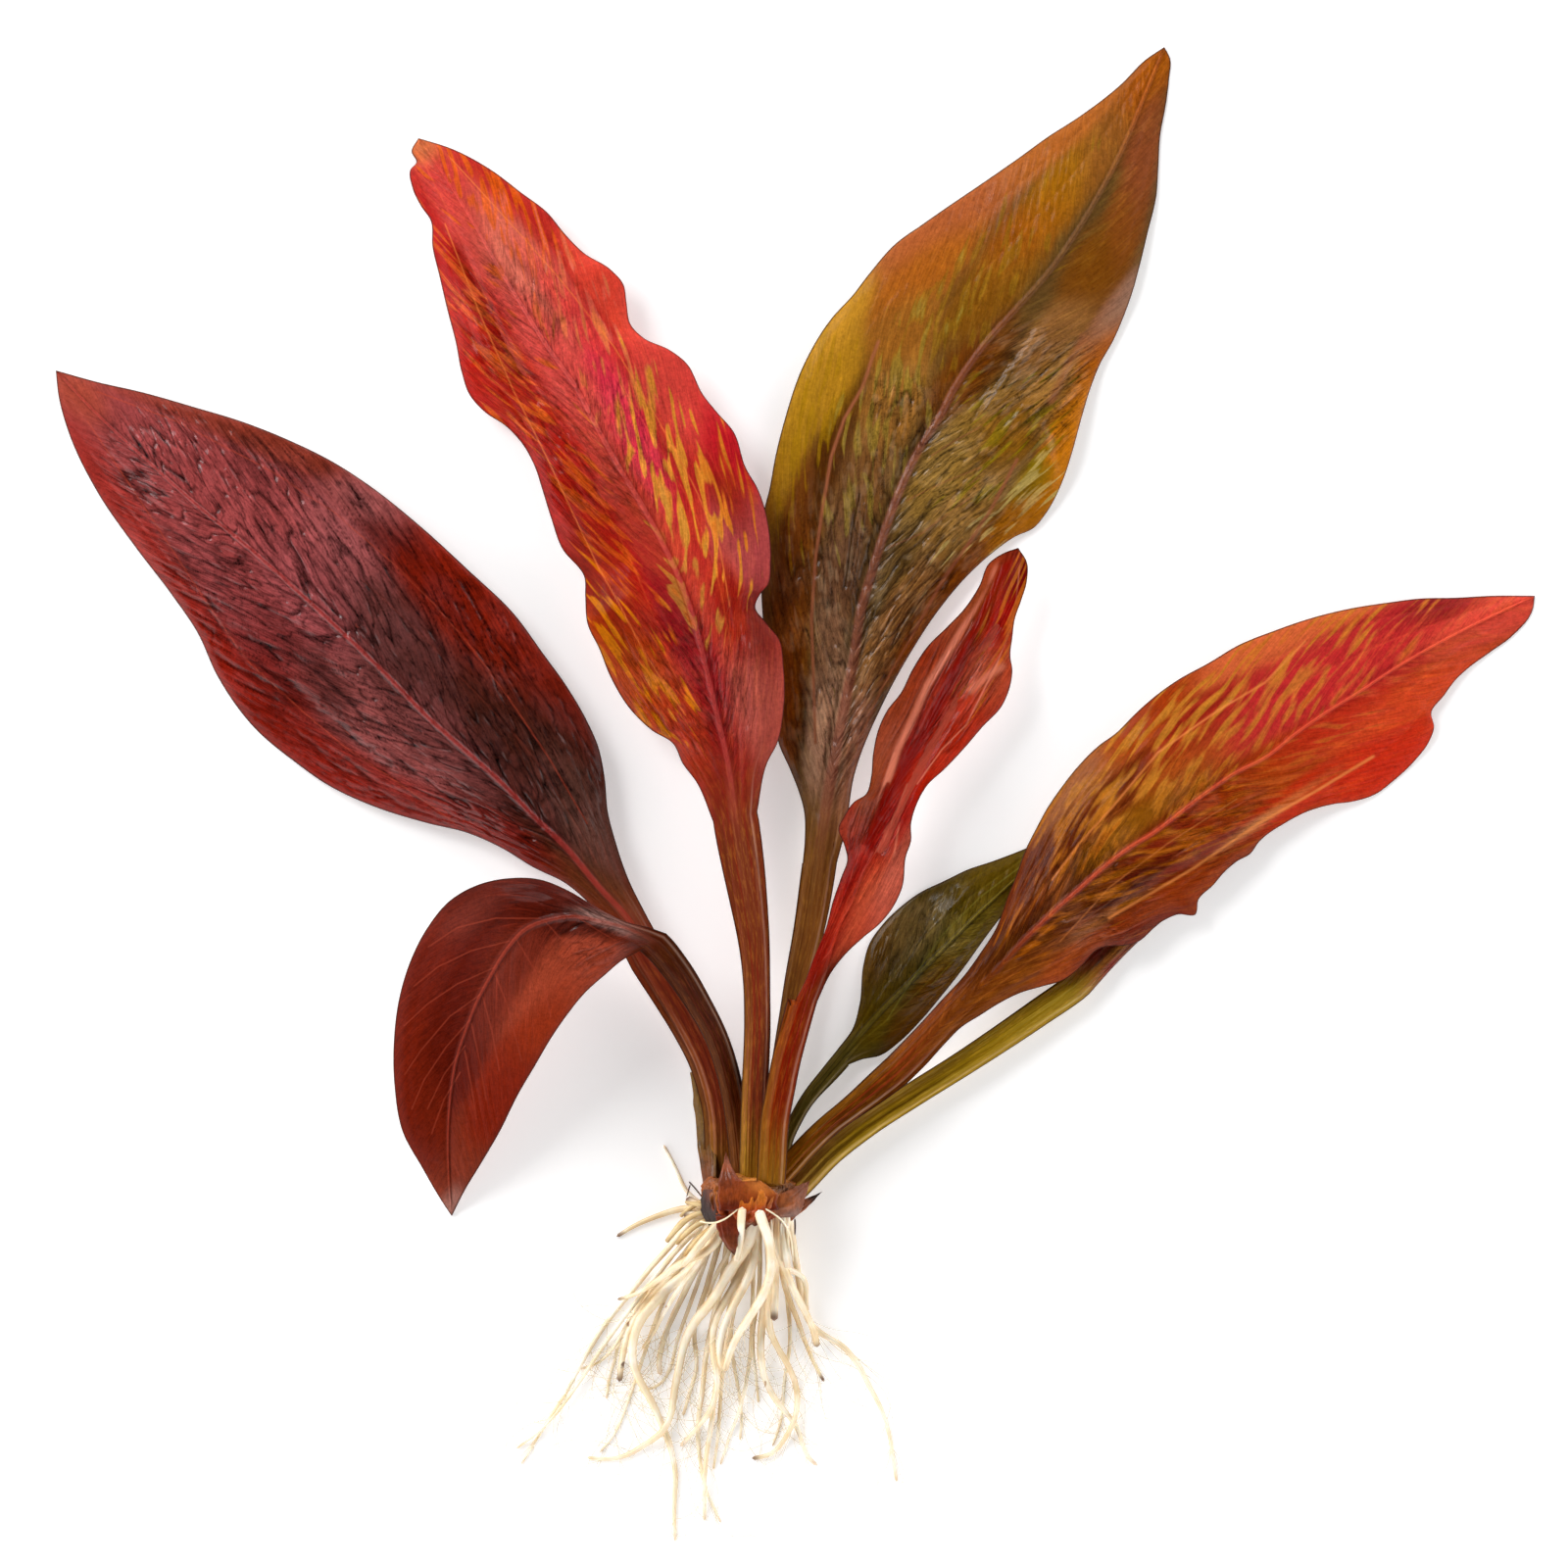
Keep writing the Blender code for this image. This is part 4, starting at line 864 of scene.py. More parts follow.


# %% [markdown]
# Each leaf is dyed by broad soft patches over a ground tone: places in pixels, the
# patch's half length and half width, how its length is turned, and its tone. Fine
# streaks along the side veins break up their edges, as they do in the real leaf.
# Streaks of a second tone, painted sheen and shade on creases, thin side veins, long veins,
# the midrib with a painted shadow beside it, and a thin dark line along the edge come on top.

# %% The leaves' dyes
# patches: x, y, half length and half width in pixels, turn in degrees, then red,
# green and blue, and for a faint patch its strength. flames: the same, with strength.
# veins: strength of side veins, long veins and midrib, the midrib's width in mm, and
# painted sheen on lumps and in broad spots. rib: where the midrib starts and where it fades.
# patches: (x, y, half length, half width, turn in degrees, tone, strength)
# Turns are against the clock from the picture's x axis.
DYES = {
    "leaf_wine": {
        "soft": 0.045, "coat_and_furrow_shade": 0.3, "rib": (-0.3, 1.1), "veins": (0.35, 0.2, 0.75, 0.7, 0.12, 0.2),
        "streaks": 0.25,
        "tones": {
            "ground": (108, 38, 30), "painted_sheen": (112, 66, 68), "streak": (150, 52, 32),
            "side_vein": (160, 56, 40), "long_vein": (176, 66, 44), "midrib": (150, 48, 44),
            "shade_and_dark_streak": (70, 22, 20), "petiole": (115, 41, 22), "petiole_streak": (142, 90, 70),
            "foot": (112, 76, 20), "under": (140, 60, 50),
        },
        # The pinkish-grey patches, such as those at (210, 500), (317, 600) and (352, 556), are painted sheen.
        "patches": [
            (82, 402, 30, 14, -45, 177, 75, 55), (205, 425, 110, 10, -22, 151, 58, 39),
            (210, 500, 120, 42, -42, 172, 74, 73), (135, 540, 90, 14, -60, 170, 48, 39),
            (215, 655, 80, 16, -52, 154, 28, 9), (265, 640, 60, 26, -50, 142, 52, 51),
            (285, 700, 50, 22, -50, 127, 23, 8), (317, 600, 60, 30, -50, 172, 83, 85),
            (395, 643, 70, 34, -50, 95, 50, 46), (385, 518, 34, 16, -35, 181, 97, 95),
            (395, 545, 26, 14, -30, 84, 15, 5), (480, 620, 110, 30, -48, 153, 33, 9),
            (540, 760, 100, 42, -60, 67, 30, 20), (585, 820, 60, 20, -65, 112, 73, 62),
            (455, 760, 60, 22, -45, 127, 65, 62), (400, 835, 130, 18, -28, 150, 26, 8),
            (520, 880, 90, 16, -30, 138, 27, 8), (385, 750, 90, 26, -45, 158, 80, 77),
            (335, 700, 50, 16, -50, 56, 12, 3), (600, 900, 50, 16, -40, 96, 54, 26),
            (450, 600, 60, 14, -50, 96, 17, 6), (290, 800, 50, 14, -40, 160, 42, 24),
            (430, 812, 100, 10, -30, 157, 28, 9), (525, 852, 60, 9, -32, 128, 23, 8),
            (352, 556, 40, 20, -50, 180, 92, 92), (232, 592, 50, 14, -50, 170, 76, 76),
        ],
        "flames": [],
    },
    "leaf_drooping": {
        "soft": 0.045, "coat_and_furrow_shade": 0.12, "rib": (-0.3, 1.0), "veins": (0.6, 0.0, 0.5, 0.5, 0.08, 0.2),
        "streaks": 0.3,
        "tones": {
            "ground": (114, 34, 20), "painted_sheen": (132, 72, 62), "streak": (150, 50, 30),
            "side_vein": (160, 56, 36), "long_vein": (142, 54, 36), "midrib": (152, 56, 40),
            "shade_and_dark_streak": (80, 24, 14), "petiole": (56, 18, 2), "petiole_streak": (77, 38, 18),
            "foot": (104, 58, 22), "under": (160, 70, 56),
        },
        "patches": [
            (524, 917, 60, 20, 8, 75, 15, 4), (437, 979, 60, 18, 65, 107, 27, 12),
            (418, 1088, 70, 16, 88, 115, 27, 7), (468, 1041, 60, 22, 72, 91, 18, 5),
            # A painted highlight: the pale patch at (618, 938), on the ridge at the petiole's top.
            (589, 938, 44, 10, -14, 73, 15, 4), (618, 938, 22, 5, -20, 189, 144, 133),
            (577, 994, 50, 18, 42, 165, 67, 42), (552, 1040, 50, 12, 55, 153, 49, 19),
            (508, 1112, 60, 12, 62, 130, 31, 9), (465, 1196, 40, 16, 72, 130, 49, 27),
            (461, 1226, 16, 8, 70, 179, 129, 116), (514, 1000, 50, 18, 60, 114, 39, 24),
            (445, 1150, 50, 14, -75, 111, 28, 9), (480, 930, 40, 12, 30, 124, 47, 33),
        ],
        "flames": [],
    },
    "leaf_red": {
        "soft": 0.045, "coat_and_furrow_shade": 0.12, "rib": (-0.3, 1.0), "veins": (0.6, 0.25, 0.5, 0.6, 0.1, 0.1),
        "streaks": 0.4,
        "tones": {
            "ground": (190, 36, 32), "painted_sheen": (214, 120, 110), "streak": (212, 124, 50),
            "side_vein": (222, 110, 62), "long_vein": (232, 120, 56), "midrib": (186, 70, 66),
            "shade_and_dark_streak": (130, 22, 22), "petiole": (106, 43, 22), "petiole_streak": (131, 65, 43),
            "foot": (140, 102, 22), "under": (190, 80, 70),
        },
        "patches": [
            (428, 150, 16, 10, -50, 213, 115, 66), (474, 219, 60, 15, -55, 210, 60, 56),
            (523, 268, 60, 16, -50, 231, 124, 101), (450, 262, 50, 9, -72, 188, 31, 30),
            (479, 357, 50, 12, -70, 200, 24, 12), (494, 310, 44, 6, -60, 168, 20, 10),
            (573, 367, 90, 15, -58, 231, 79, 72), (622, 300, 44, 11, -52, 231, 69, 51),
            (691, 386, 44, 22, -62, 231, 72, 62), (735, 441, 44, 14, -65, 194, 23, 36),
            (533, 416, 60, 15, -52, 177, 21, 11), (597, 515, 80, 13, -60, 177, 21, 11),
            (660, 530, 90, 15, -62, 195, 60, 44), (622, 579, 40, 12, -62, 155, 35, 18),
            (637, 690, 56, 26, -55, 186, 64, 11), (765, 554, 34, 22, -70, 181, 73, 73),
            (772, 712, 44, 20, -88, 182, 81, 69), (745, 786, 50, 16, -85, 148, 24, 22),
            (702, 751, 40, 14, -60, 177, 48, 25), (700, 640, 80, 12, -65, 154, 18, 30),
            (640, 440, 60, 12, -65, 231, 45, 76), (563, 300, 60, 10, -50, 231, 58, 58),
            (750, 630, 40, 10, -80, 165, 27, 16), (776, 662, 40, 12, -85, 120, 26, 22),
            (616, 616, 36, 12, -60, 136, 26, 8), (752, 522, 30, 12, -72, 150, 26, 12),
        ],
        "flames": [
            (530, 235, 90, 26, -52, 231, 96, 2, 0.85), (600, 320, 75, 22, -52, 231, 102, 82, 0.85),
            (650, 420, 75, 28, -62, 231, 118, 64, 0.85), (700, 490, 80, 30, -65, 231, 151, 43, 0.95),
            (745, 500, 40, 18, -75, 214, 88, 20, 0.5), (700, 590, 50, 16, -75, 206, 142, 54, 0.8),
            (500, 340, 100, 22, -60, 231, 96, 36, 0.8), (600, 520, 110, 20, -60, 230, 94, 15, 0.65),
            (640, 680, 64, 28, -58, 224, 130, 2, 0.9),
        ],
    },
    "leaf_olive": {
        "soft": 0.045, "coat_and_furrow_shade": 0.22, "rib": (-0.3, 0.72), "veins": (0.45, 0.15, 0.8, 1.25, 0.3, 0.12),
        "streaks": 0.5,
        "tones": {
            "ground": (104, 74, 34), "painted_sheen": (168, 146, 116), "streak": (150, 118, 34),
            "side_vein": (128, 90, 62), "long_vein": (154, 88, 58), "midrib": (134, 74, 56),
            "shade_and_dark_streak": (70, 44, 20), "petiole": (110, 65, 25), "petiole_streak": (135, 94, 50),
            "foot": (130, 96, 26), "under": (140, 110, 60),
        },
        "patches": [
            (1169, 83, 40, 12, 60, 173, 86, 10), (1073, 146, 66, 12, 38, 187, 103, 39),
            (967, 223, 66, 16, 38, 187, 97, 51), (943, 271, 50, 18, 45, 180, 97, 23),
            (1126, 146, 40, 13, 58, 150, 89, 31), (1164, 160, 50, 10, 80, 149, 76, 37),
            (1078, 199, 46, 14, 55, 170, 106, 10), (1045, 242, 46, 14, 50, 162, 83, 10),
            (1015, 290, 46, 16, 50, 135, 82, 12), (1145, 233, 34, 11, 76, 142, 75, 22),
            (1118, 276, 34, 16, 60, 129, 72, 11), (1136, 324, 34, 9, 56, 159, 120, 99),
            (1078, 338, 34, 12, 45, 162, 107, 54), (1119, 365, 46, 12, 64, 185, 92, 11),
            (1095, 428, 50, 13, 70, 225, 132, 14), (851, 335, 46, 14, 55, 207, 146, 38),
            (812, 416, 66, 13, 78, 192, 138, 28), (856, 449, 56, 12, 70, 86, 43, 5),
            (919, 339, 36, 20, 60, 160, 97, 30), (904, 416, 40, 18, 65, 181, 120, 48),
            (880, 483, 50, 16, 72, 128, 81, 39), (1020, 440, 30, 20, 40, 150, 95, 12),
            (1056, 490, 18, 9, 40, 154, 114, 9), (977, 464, 46, 16, 52, 161, 120, 51),
            (991, 377, 40, 14, 52, 122, 61, 7), (986, 521, 40, 14, 50, 165, 117, 52),
            (848, 650, 70, 9, 87, 154, 106, 74), (906, 648, 60, 10, 60, 155, 101, 51),
            (848, 745, 44, 14, 86, 206, 152, 119), (802, 690, 66, 12, 86, 147, 74, 9),
            (960, 612, 56, 9, 55, 141, 70, 8), (868, 770, 50, 9, 80, 168, 109, 80),
            (815, 560, 60, 12, 85, 127, 65, 15), (1040, 530, 30, 10, 40, 188, 112, 11),
            (860, 570, 50, 12, 80, 104, 63, 37), (858, 388, 34, 12, 70, 190, 134, 28),
            (1072, 400, 30, 14, 50, 178, 122, 50),
        ],
        "flames": [
            (1035, 460, 50, 34, 50, 149, 127, 2, 0.8), (830, 430, 90, 16, 78, 176, 130, 2, 0.55),
            (960, 340, 110, 30, 52, 152, 110, 21, 0.6), (900, 440, 80, 22, 70, 165, 141, 53, 0.6),
            (1030, 520, 50, 14, 40, 231, 201, 120, 0.6),
        ],
    },
    "leaf_young": {
        "soft": 0.045, "coat_and_furrow_shade": 0.1, "rib": (-0.3, 1.2), "veins": (0.5, 0.0, 0.0, 0.5, 0.05, 0.1), "streaks": 0.6,
        "tones": {
            "ground": (176, 38, 24), "painted_sheen": (216, 130, 112), "streak": (214, 104, 60),
            "side_vein": (214, 110, 80), "long_vein": (216, 122, 94), "midrib": (190, 44, 32),
            "shade_and_dark_streak": (124, 8, 2), "petiole": (104, 25, 5), "petiole_streak": (122, 52, 18),
            "foot": (120, 82, 18), "under": (190, 90, 70),
        },
        "patches": [
            (1030, 590, 30, 12, 80, 103, 2, 2), (1022, 630, 40, 12, 85, 180, 2, 2),
            (1028, 660, 20, 8, 80, 178, 56, 2), (1008, 690, 30, 14, 60, 207, 91, 57),
            (985, 725, 50, 12, 55, 205, 48, 17), (955, 765, 50, 12, 50, 190, 29, 2),
            (1000, 585, 30, 8, 60, 177, 59, 26), (985, 620, 50, 10, 58, 164, 78, 38),
            (955, 665, 50, 12, 58, 154, 40, 2), (925, 715, 40, 14, 55, 159, 54, 2),
            (905, 755, 40, 12, 75, 169, 77, 51), (895, 800, 40, 10, 75, 161, 71, 29),
            (1003, 625, 60, 8, 62, 131, 47, 2), (965, 690, 60, 9, 58, 147, 13, 2),
            (930, 755, 50, 9, 55, 138, 2, 2), (900, 815, 50, 9, 60, 130, 2, 2),
            (862, 845, 14, 8, 30, 170, 58, 38), (885, 870, 50, 9, 65, 160, 2, 2),
            (905, 860, 40, 10, 65, 174, 2, 2), (905, 900, 40, 10, 65, 202, 93, 72),
            (880, 915, 50, 10, 62, 218, 92, 57), (870, 950, 40, 10, 55, 184, 65, 41),
            (855, 950, 60, 8, 62, 163, 2, 2), (840, 1000, 50, 8, 60, 30, 2, 2),
        ],
        "flames": [(1020, 650, 60, 12, 68, 231, 128, 32, 0.6)],
    },
    "leaf_green": {
        "soft": 0.045, "coat_and_furrow_shade": 0.12, "rib": (-0.3, 1.2), "veins": (0.4, 0.4, 0.4, 0.45, 0.25, 0.2),
        "streaks": 0.3,
        "tones": {
            "ground": (62, 56, 18), "painted_sheen": (122, 112, 84), "streak": (92, 86, 34), "side_vein": (104, 98, 40),
            "long_vein": (126, 118, 44), "midrib": (104, 96, 34), "shade_and_dark_streak": (44, 40, 12),
            "petiole": (83, 72, 25), "petiole_streak": (99, 90, 40), "foot": (110, 88, 30),
            "under": (110, 110, 60),
        },
        "patches": [
            (942, 900, 50, 12, 30, 96, 76, 20), (924, 954, 34, 14, 50, 144, 117, 62),
            (990, 954, 40, 14, 55, 133, 110, 24), (895, 1020, 40, 14, 62, 102, 77, 2),
            (1005, 900, 34, 16, 40, 100, 75, 3), (960, 1000, 44, 10, 55, 117, 68, 2),
            (935, 1030, 30, 10, 50, 88, 51, 2), (900, 970, 30, 10, 75, 117, 76, 2),
        ],
        "flames": [],
    },
    "leaf_right": {
        "soft": 0.1, "coat_and_furrow_shade": 0.05, "rib": (0.12, 1.1), "veins": (0.5, 0.2, 0.7, 0.5, 0.1, 0.1), "streaks": 0.4,
        "tones": {
            "ground": (160, 66, 22), "painted_sheen": (214, 146, 110), "streak": (200, 128, 30),
            "side_vein": (206, 122, 50), "long_vein": (216, 126, 62), "midrib": (206, 78, 52),
            "shade_and_dark_streak": (140, 40, 18), "petiole": (72, 32, 4), "petiole_streak": (98, 54, 8),
            "foot": (132, 82, 8), "under": (176, 100, 50),
        },
        "patches": [
            (1520, 633, 50, 12, 22, 231, 76, 60), (1454, 624, 26, 9, 14, 128, 26, 29),
            (1320, 650, 70, 11, 24, 221, 102, 55), (1366, 682, 80, 24, 28, 205, 43, 46),
            (1280, 720, 60, 20, 35, 199, 42, 46), (1211, 774, 50, 16, 38, 172, 76, 20),
            (1165, 728, 60, 14, 45, 170, 58, 10), (1100, 792, 50, 16, 55, 166, 97, 49),
            (1078, 880, 50, 22, 58, 86, 23, 5), (1410, 775, 44, 18, 32, 218, 47, 24),
            (1440, 715, 60, 12, 30, 225, 73, 36), (1321, 815, 50, 9, 34, 205, 45, 15),
            (1299, 828, 48, 4, 34, 220, 149, 82), (1215, 878, 52, 4, 31, 123, 25, 7),
            (1136, 928, 44, 4, 33, 139, 78, 42), (1211, 898, 60, 10, 34, 151, 53, 10),
            (1140, 850, 70, 14, 38, 141, 83, 9), (1190, 850, 60, 14, 36, 134, 31, 8),
            (1110, 905, 60, 10, 36, 99, 40, 6), (1050, 950, 60, 16, 40, 68, 25, 4),
            (1010, 1010, 60, 16, 45, 114, 54, 10), (1270, 800, 60, 14, 34, 169, 60, 10),
            (1230, 740, 50, 14, 40, 155, 31, 13), (1340, 750, 60, 10, 32, 202, 47, 25),
            (1135, 820, 40, 14, 50, 100, 28, 8), (1400, 640, 60, 10, 16, 188, 38, 43),
            (1155, 960, 40, 10, 32, 111, 29, 15), (1150, 900, 40, 8, 34, 65, 13, 4),
        ],
        "flames": [
            (1400, 680, 120, 30, 20, 231, 99, 60, 0.55), (1300, 655, 120, 18, 22, 204, 108, 29, 0.8),
            (1250, 740, 130, 40, 35, 208, 126, 43, 0.8), (1150, 790, 100, 36, 48, 203, 131, 39, 0.8),
            (1200, 850, 110, 26, 34, 178, 96, 2, 0.8), (1080, 880, 60, 24, 58, 159, 66, 2, 0.5),
            (1380, 740, 100, 24, 32, 211, 58, 41, 0.5),
        ],
    },
    "leaf_under": {
        "soft": 0.045, "coat_and_furrow_shade": 0.15, "rib": (-0.3, 1.2), "veins": (0.3, 0.4, 0.5, 0.6, 0.1, 0.1), "streaks": 0.3,
        "tones": {
            "ground": (110, 66, 20), "painted_sheen": (150, 130, 90), "streak": (150, 110, 30),
            "side_vein": (140, 110, 40), "long_vein": (150, 110, 34), "midrib": (150, 100, 30),
            "shade_and_dark_streak": (90, 60, 12), "petiole": (137, 106, 13), "petiole_streak": (158, 135, 54),
            "foot": (140, 104, 44), "under": (150, 120, 50),
        },
        "patches": [(1120, 990, 50, 24, 40, 157, 14, 42, 0.9), (1140, 970, 40, 14, 40, 83, 62, 16, 0.8)],
        "flames": [],
    },
}
EDGE = tone(44, 22, 14)
print("patches:", sum(len(dye["patches"]) for dye in DYES.values()))

# %% [markdown]
# One function makes every leaf's material from its dyes. It reads the notes that
# the mesh keeps: the distance along a side vein's foot and across the blade make
# the streaks follow the veins, whichever way the leaf lies.

# %% The leaf material
GROUND_SHARE = 0.02
PETIOLE_HIGHLIGHT = tone(200, 180, 160)


def shader_start(name):
    """A new material's tree, its shader node and a first wire."""
    material = bpy.data.materials.new(name)
    material.use_nodes = True
    tree = material.node_tree
    return material, tree.nodes["Principled BSDF"], Wire(tree)


def connect(wire, shader, socket):
    """Links a wire to a socket of a shader."""
    wire.tree.links.new(wire.socket, shader.inputs[socket])


def bumped(height, shader, strength, depth):
    """Fine relief that the light sees, and the outline doesn't."""
    settings = {"Strength": strength, "Distance": depth, "Height": height}
    connect(height.node("ShaderNodeBump", inputs=settings), shader, "Normal")


def level_place(where):
    """A place as it is seen from above, at height 0."""
    return where.vector("MULTIPLY", where, (1.0, 1.0, 0.0))


def spot(level, x, y, long_half, wide_half, turn):
    """How far a place is from the middle of a turned oval, 1 at its rim."""
    centre = (*plan(x, y), 0.0)
    scale = (long_half * PIXEL, wide_half * PIXEL, 1.0)
    settings = {"Vector": level, "Location": centre, "Rotation": (0, 0, math.radians(turn)), "Scale": scale}
    local = level.node("ShaderNodeMapping", {"vector_type": "TEXTURE"}, settings)
    return local.vector("LENGTH", local, output=1)


def lifted(colour, tint, share=0.3):
    """A lighter tone of a colour, tinged with another."""
    return colour.vector("MULTIPLY_ADD", colour, (1.3, 1.3, 1.3), tuple(share * part for part in tint[:3]))


def patchwork(level, patches, ground, ragged):
    """Patches' tones mixed by nearness, so that each place takes most from its nearest patch."""
    total = GROUND_SHARE
    mixed = tuple(GROUND_SHARE * part for part in ground[:3])
    for x, y, long_half, wide_half, turn, red, green, blue, *strength in patches:
        far = spot(level, x, y, long_half, wide_half, turn) + ragged
        share = level.math("POWER", 2.718, far * far * -1.2) * (strength or [1])[0]
        mixed = level.vector("MULTIPLY_ADD", tone(red, green, blue)[:3], share, mixed)
        total = share + total
    return level.vector("DIVIDE", mixed, total)


def leaf_material(name, dye):
    """A leaf's material: patches, flames and streaks, painted shade and sheen on creases, veins, petiole and
    edge.
    """
    material, shader, start = shader_start(name)
    side_strength, long_strength, midrib_strength, midrib_width, painted_lump_sheen, painted_spot_sheen = dye["veins"]
    hue = {part: tone(*shade) for part, shade in dye["tones"].items()}
    lane, run, place = start.noted("vein")
    along, progress, half_width = start.noted("stem")
    across = place * half_width
    inner, outer, under = start.noted("gaps")
    vein_line, creased, _ = start.noted("marks")
    furrow, lump, drawn = start.noted("creases")
    where = start.node("ShaderNodeTexCoord", output=3)
    wide = start.noise(start.joined(lane / 1.4, run / 6.0, 3.0), 3.0, 0.6, distortion=0.5)
    fine = start.noise(start.joined(lane / 0.4, run / 3.0, 7.0), 2.0, 0.6)
    broad = start.noise(where, 2.0, 0.5, 60.0)
    flickering = (lane + (broad - 0.5) * 3.0) / 1.5
    flame = start.noise(start.joined(flickering, run / 5.5, 11.0), 0.6, 0.5, distortion=0.3)
    grain = start.noise(where, 3.0, 0.7, 900.0)
    level = level_place(where)
    bent = lane + (wide - 0.5) * 2.0
    crinkle = start.noise(start.joined(bent / 0.6, run / 3.6, 15.0), 1.0, 0.5, distortion=0.5)
    furrows = 1 - ((crinkle - 0.5).size() * 14.0).between(0.0, 1.0)
    colour = patchwork(level, dye["patches"], hue["ground"], (wide - 0.5) * 0.9 + (broad - 0.5) * 0.4)
    # Flames: sharp, ragged licks of a bright tone that gather round these spots.
    for *oval, red, green, blue, strength in dye["flames"]:
        past = spot(level, *oval) - 0.7
        lick = flame - start.math("MAXIMUM", past, 0.0) * 0.13
        lick = lick.between(0.53 - dye["soft"], 0.53 + dye["soft"]) * (0.6 + 0.4 * fine)
        colour = start.blend(lick * strength, colour, tone(red, green, blue))
    # Streaks of the second tone, strongest half-way out.
    half_way = 1 - (place.size() - 0.42).size() * 1.1
    streaks = (wide + (broad - 0.5) * 0.5).between(0.50, 0.64) * half_way * (0.55 + 0.45 * fine)
    colour = start.blend(streaks * dye["streaks"], colour, lifted(colour, hue["streak"]))
    speckle = start.noise(where, 2.0, 0.6, 2300.0)
    shade = fine.between(0.30, 0.70) * 0.16 + grain.between(0.3, 0.7) * 0.14
    shade = shade + (speckle - 0.5) * 0.42 + 0.54
    # Painted shade in the furrows of the creases, deepest where the leaf is most creased.
    shade = shade - furrows * (0.02 + creased * 0.14) - furrow * creased * (0.1 + dye["coat_and_furrow_shade"] * 1.4)
    colour = start.shaded(colour, shade)
    threads = 1 - ((fine - 0.5).size() * 16.0).between(0.0, 1.0)
    # A painted sheen lightens the creases' lumps and broad spots away from the furrows.
    painted_sheen_spots = start.noise(where, 1.0, 0.5, 170.0).between(0.42, 0.62) * (1 - furrow) * painted_spot_sheen
    painted_sheen_mask = (painted_sheen_spots + lump.between(0.1, 0.8) * painted_lump_sheen) * creased
    colour = start.blend(painted_sheen_mask, colour, lifted(colour, hue["painted_sheen"], 0.5))
    side_vein = vein_line.between(0.86, 0.99) * broad.between(0.38, 0.6) + threads * 0.3
    side_vein = side_vein * side_strength * 0.8 * (1 - place.size() * 0.5)
    colour = start.blend(side_vein, colour, lifted(colour, hue["side_vein"], 0.4))
    long_vein = (1 - inner.size().between(0.05, 0.26)) * 0.8 + (1 - outer.size().between(0.05, 0.2)) * 0.35
    long_vein = long_vein * long_strength * broad.between(0.3, 0.6)
    colour = start.blend(long_vein, colour, lifted(colour, hue["long_vein"], 0.4))
    # Painted shade along the darker drawn lines; the paler ones are veins, and a few are painted highlights on
    # ridges.
    colour = start.blend((drawn * -1.0).between(0.05, 0.9) * 0.85, colour, hue["shade_and_dark_streak"])
    colour = start.blend(drawn.between(0.05, 0.9) * (0.65 + 0.5 * fine), colour, hue["long_vein"])
    rib_width = midrib_width * (1.15 - progress * 0.75)
    rib_start, rib_end = dye["rib"]
    rib = progress.between(rib_start, rib_start + 0.25) * (1 - progress.between(rib_end - 0.3, rib_end) * 0.8)
    away = across.size() / rib_width
    # Painted shadow in the groove on each side of the midrib.
    painted_rib_shadow = (1 - (away - 1.1).size().between(0.0, 0.5)) * 0.55 * rib
    colour = start.blend(painted_rib_shadow, colour, hue["shade_and_dark_streak"])
    on_rib = (1 - away.between(0.45, 0.95)) * midrib_strength * (0.6 + 0.6 * fine) * rib
    colour = start.blend(on_rib, colour, hue["midrib"])
    # The petiole, greener at its foot, streaked along its length.
    lines = start.noise(start.joined(place * 5.0, along / 45.0, 1.0), 3.0, 0.6)
    stalk = start.blend((1 - along.between(2.0, 16.0)) * 0.8, hue["petiole"], hue["foot"])
    stalk = start.blend(place.between(0.1, 0.8) * (1 - along.between(6.0, 50.0)) * 0.6, stalk, hue["foot"])
    stalk = start.blend(lines.between(0.48, 0.70) * 0.7, stalk, hue["petiole_streak"])
    stalk = start.blend(lines.between(0.48, 0.30) * 0.6, stalk, hue["shade_and_dark_streak"])
    # A painted highlight: a thin pale line along a ridge of the petiole.
    ridge = 1 - ((place + 0.68).size() * half_width).between(0.06, 0.28)
    stalk = start.blend(ridge * lines.between(0.3, 0.6) * 0.7, stalk, lifted(stalk, PETIOLE_HIGHLIGHT, 0.3))
    mottle = start.noise(start.joined(place * 9.0, along / 3.0, 21.0), 3.0, 0.7).between(0.46, 0.66)
    stalk = start.blend(mottle * 0.5, stalk, lifted(stalk, hue["foot"], 0.5))
    colour = start.blend((1 - progress.between(-0.05, 0.12)), colour, stalk)
    colour = start.blend(under * 0.5, colour, hue["under"])
    edge = (1 - place.size()) * half_width
    colour = start.blend((1 - edge.between(0.08, 0.34)) * 0.85, colour, EDGE)
    connect(colour, shader, "Base Color")
    roughness = 0.20 + grain * 0.14 + broad * 0.08
    connect(roughness, shader, "Roughness")
    connect(0.05 + creased * dye["coat_and_furrow_shade"], shader, "Coat Weight")
    shader.inputs["Specular IOR Level"].default_value = 0.01
    shader.inputs["Coat Roughness"].default_value = 0.12
    micro = start.noise(start.joined(lane / 0.25, run / 1.6, 5.0), 2.0, 0.6)
    texture = micro * (0.4 + creased * 0.6) + grain * 0.35 + speckle * 0.15 - furrows * (0.1 + creased * 1.0)
    bumped(texture, shader, 0.7, 0.22 * MM)
    return material


# %% [markdown]
# Each leaf is made and dyed. Its mesh stands for its plain solid.

# %% The eight leaves
for leaf_name, leaf_shape in LEAVES.items():
    skin = leaf(leaf_name, leaf_shape, RELIEF[leaf_name])
    dressed(skin, leaf_material(leaf_name + "_dye", DYES[leaf_name]), leaf_name, leaf_name)

# %% [markdown]
# The roots were laid one on another, in the order of this list, each resting on
# those before it. The same sum finds their heights here.

